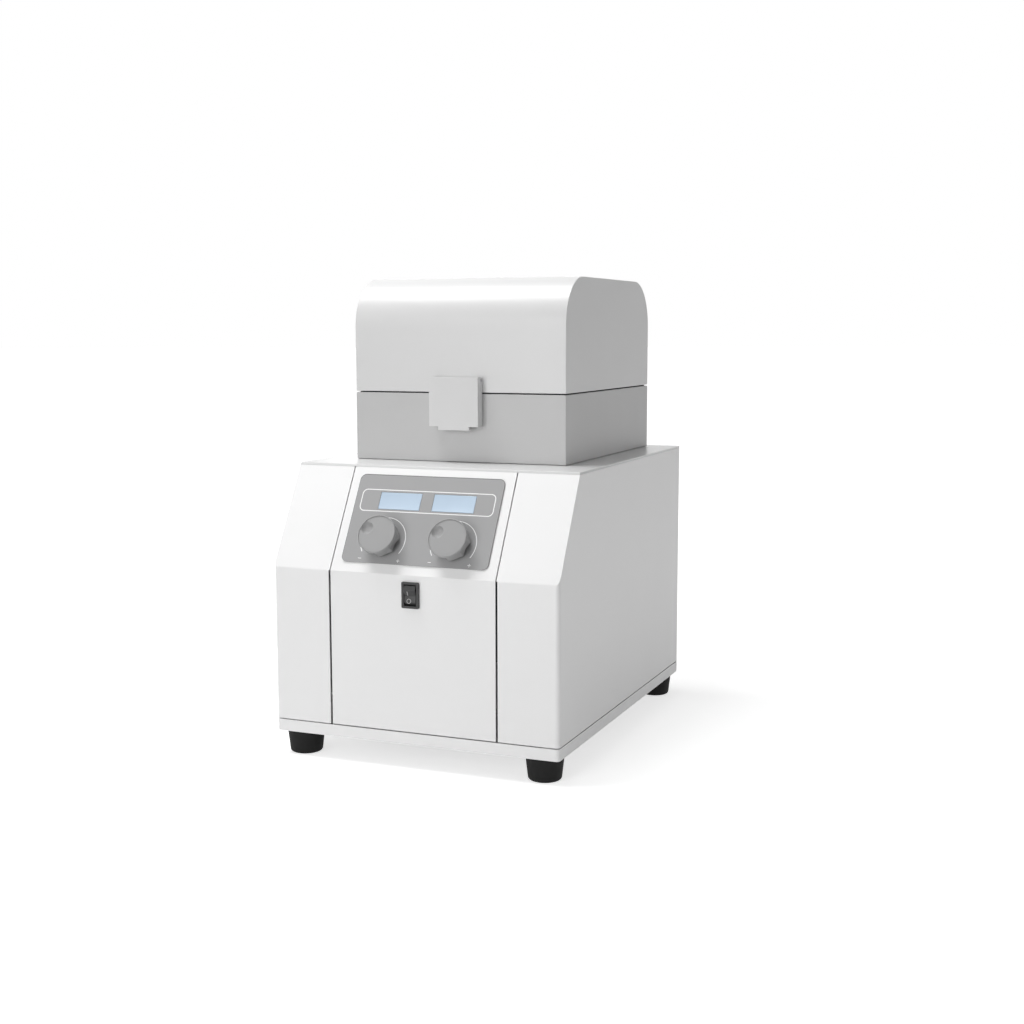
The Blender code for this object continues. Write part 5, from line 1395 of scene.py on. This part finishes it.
@dataclass
class Electronics:
    """The power supply and the motor driver on the tray."""

    case_edge: float = 0.4 * MM
    fin_edge: float = 0.3 * MM

    def build(self) -> list[Piece]:
        """Make the electronics' cases and return them."""
        supply = refined("power_supply", ZINC, self.case_edge)
        return [supply, refined("motor_driver", ALUMINIUM, self.fin_edge)]


# Studio


@dataclass(frozen=True)
class Lamp:
    """A square soft lamp.

    Attributes:
        name: Its name.
        power: Its power, in watts.
        place: Its place.
        size: Its width.
    """

    name: str
    power: float
    place: tuple[float, float, float]
    size: float


@dataclass
class Studio:
    """The pale bench, the soft lamps, the white room and the camera.

    Attributes:
        target: Point that the camera looks at.
        azimuth: Turn of the camera round it.
        elevation: Its height above the horizon.
        roll: Its turn about its own axis.
        distance: Its distance from the target.
        focal: Focal length in the picture's own pixels.
        picture: The picture's size in pixels.
        sensor: The sensor's width, in millimetres.
        ambient: Strength of the even light from all round.
        lamps: The soft lamps.
        bench_radius: Radius of the bench.
        bench_tone: Reflectance of the bench.
        bench_roughness: Its roughness.
        bench_lift: White added near the machine where the bench is seen.
        bench_reach: Distances between which it rises to full white.
    """

    target: Vector = Vector((0.0351, -0.040, 0.1952))
    azimuth: float = 22.31 * DEGREE
    elevation: float = 7.08 * DEGREE
    roll: float = -0.10 * DEGREE
    distance: float = 1.2479
    focal: float = 1460.0
    picture: float = 1024.0
    sensor: float = 36.0
    ambient: float = 0.2
    lamps: tuple[Lamp, ...] = (
        Lamp("top_lamp", 17.4, (-0.44, -0.17, 1.55), 0.75),
        Lamp("front_lamp", 14.3, (-0.35, -1.9, 0.5), 1.0),
        Lamp("side_lamp", 6.2, (1.9, -0.1, 0.3), 1.2),
        Lamp("back_lamp", 2.0, (-0.76, 1.85, 0.45), 0.8),
    )
    bench_radius: float = 30.0
    bench_tone: float = 0.68
    bench_roughness: float = 0.9
    bench_lift: float = 0.68
    bench_reach: Point = (0.3, 1.0)

    def camera(self) -> None:
        """Set up the camera at the picture's own angle."""
        lens = bpy.data.cameras.new("view")
        lens.sensor_width = self.sensor
        lens.sensor_fit = "HORIZONTAL"
        lens.lens = self.sensor * self.focal / self.picture
        lens.clip_start = 10 * MM
        item = bpy.data.objects.new("view", lens)
        bpy.context.scene.collection.objects.link(item)
        level = math.cos(self.elevation)
        away = Vector((math.sin(self.azimuth) * level, -math.cos(self.azimuth) * level, math.sin(self.elevation)))
        facing = away.to_track_quat("Z", "Y").to_matrix().to_4x4()
        place = Matrix.Translation(self.target + away * self.distance)
        item.matrix_world = place @ facing @ Matrix.Rotation(self.roll, 4, "Z")
        bpy.context.scene.camera = item

    def hang(self, lamp: Lamp) -> None:
        """Hang a lamp so that it faces the machine.

        Args:
            lamp: The lamp.
        """
        light = bpy.data.lights.new(lamp.name, "AREA")
        light.energy = lamp.power
        light.size = lamp.size
        item = bpy.data.objects.new(lamp.name, light)
        item.location = lamp.place
        item.rotation_euler = (Vector(lamp.place) - self.target).to_track_quat("Z", "Y").to_euler()
        item.visible_camera = False
        bpy.context.scene.collection.objects.link(item)

    def seen(self, tree: bpy.types.NodeTree) -> Socket:
        """A value that is 1 where the camera sees a surface, straight or in a mirror or through glass.

        Args:
            tree: The node tree that it is added to.

        Returns:
            The value's socket.
        """
        path = tree.nodes.new("ShaderNodeLightPath")
        value = path.outputs["Is Camera Ray"]
        for ray in ("Is Glossy Ray", "Is Transmission Ray"):
            either = tree.nodes.new("ShaderNodeMath")
            either.operation = "MAXIMUM"
            tree.links.new(value, either.inputs[0])
            tree.links.new(path.outputs[ray], either.inputs[1])
            value = either.outputs["Value"]
        return value

    def room(self) -> None:
        """Even light from all round, and white where it is seen."""
        world = bpy.data.worlds.new("room")
        world.use_nodes = True
        tree = world.node_tree
        background = preset(tree.nodes["Background"], {"Color": (1, 1, 1, 1)})
        strength = preset(tree.nodes.new("ShaderNodeMapRange"), {"To Min": self.ambient, "To Max": 1.0})
        tree.links.new(self.seen(tree), strength.inputs["Value"])
        tree.links.new(strength.outputs["Result"], background.inputs["Strength"])
        bpy.context.scene.world = world

    def bench(self) -> None:
        """A wide pale floor that keeps the machine's shadow and turns to plain white away from it."""
        bm = bmesh.new()
        bmesh.ops.create_circle(bm, cap_ends=True, segments=96, radius=self.bench_radius)
        mesh = bpy.data.meshes.new("bench")
        bm.to_mesh(mesh)
        bm.free()
        shader = Shader("bench_top")
        tone = (self.bench_tone, self.bench_tone, self.bench_tone, 1)
        preset(shader.principled, {"Base Color": tone, "Roughness": self.bench_roughness})
        preset(shader.principled, {"Specular IOR Level": 0.0, "Emission Color": (1, 1, 1, 1)})
        distance = shader.node("VectorMath", operation="LENGTH")
        shader.wire(shader.coordinates, distance.inputs[0])
        rise = shader.node("MapRange", interpolation_type="SMOOTHSTEP")
        near, far = self.bench_reach
        preset(rise, {"From Min": near, "From Max": far, "To Min": self.bench_lift, "To Max": 1.0})
        shader.wire(distance.outputs["Value"], rise.inputs["Value"])
        lift = shader.node("Math", operation="MULTIPLY")
        shader.wire(rise.outputs["Result"], lift.inputs[0])
        shader.wire(self.seen(shader.tree), lift.inputs[1])
        shader.wire(lift.outputs["Value"], shader.principled.inputs["Emission Strength"])
        mesh.materials.append(shader.material)
        item = bpy.data.objects.new("bench", mesh)
        bpy.context.scene.collection.objects.link(item)

    def build(self) -> None:
        """Set up the camera, the light and the bench."""
        self.camera()
        self.room()
        for lamp in self.lamps:
            self.hang(lamp)
        self.bench()
        bpy.context.scene.view_settings.view_transform = "Standard"


def main() -> None:
    """Build the sub-assemblies in order, then the studio, and report each piece."""
    logging.basicConfig(level=logging.INFO, format="%(name)s: %(message)s")
    assemblies = [
        Housing(), ControlPanel(), PowerSwitch(), Chamber(), Lid(), Latch(), Drive(), RockingHead(),
        RearFittings(), Electronics(),
    ]
    for assembly in assemblies:
        for piece in assembly.build():
            LOG.info("%s: %s", type(assembly).__name__, piece.name)
    Studio().build()


if __name__ == "__main__":
    main()
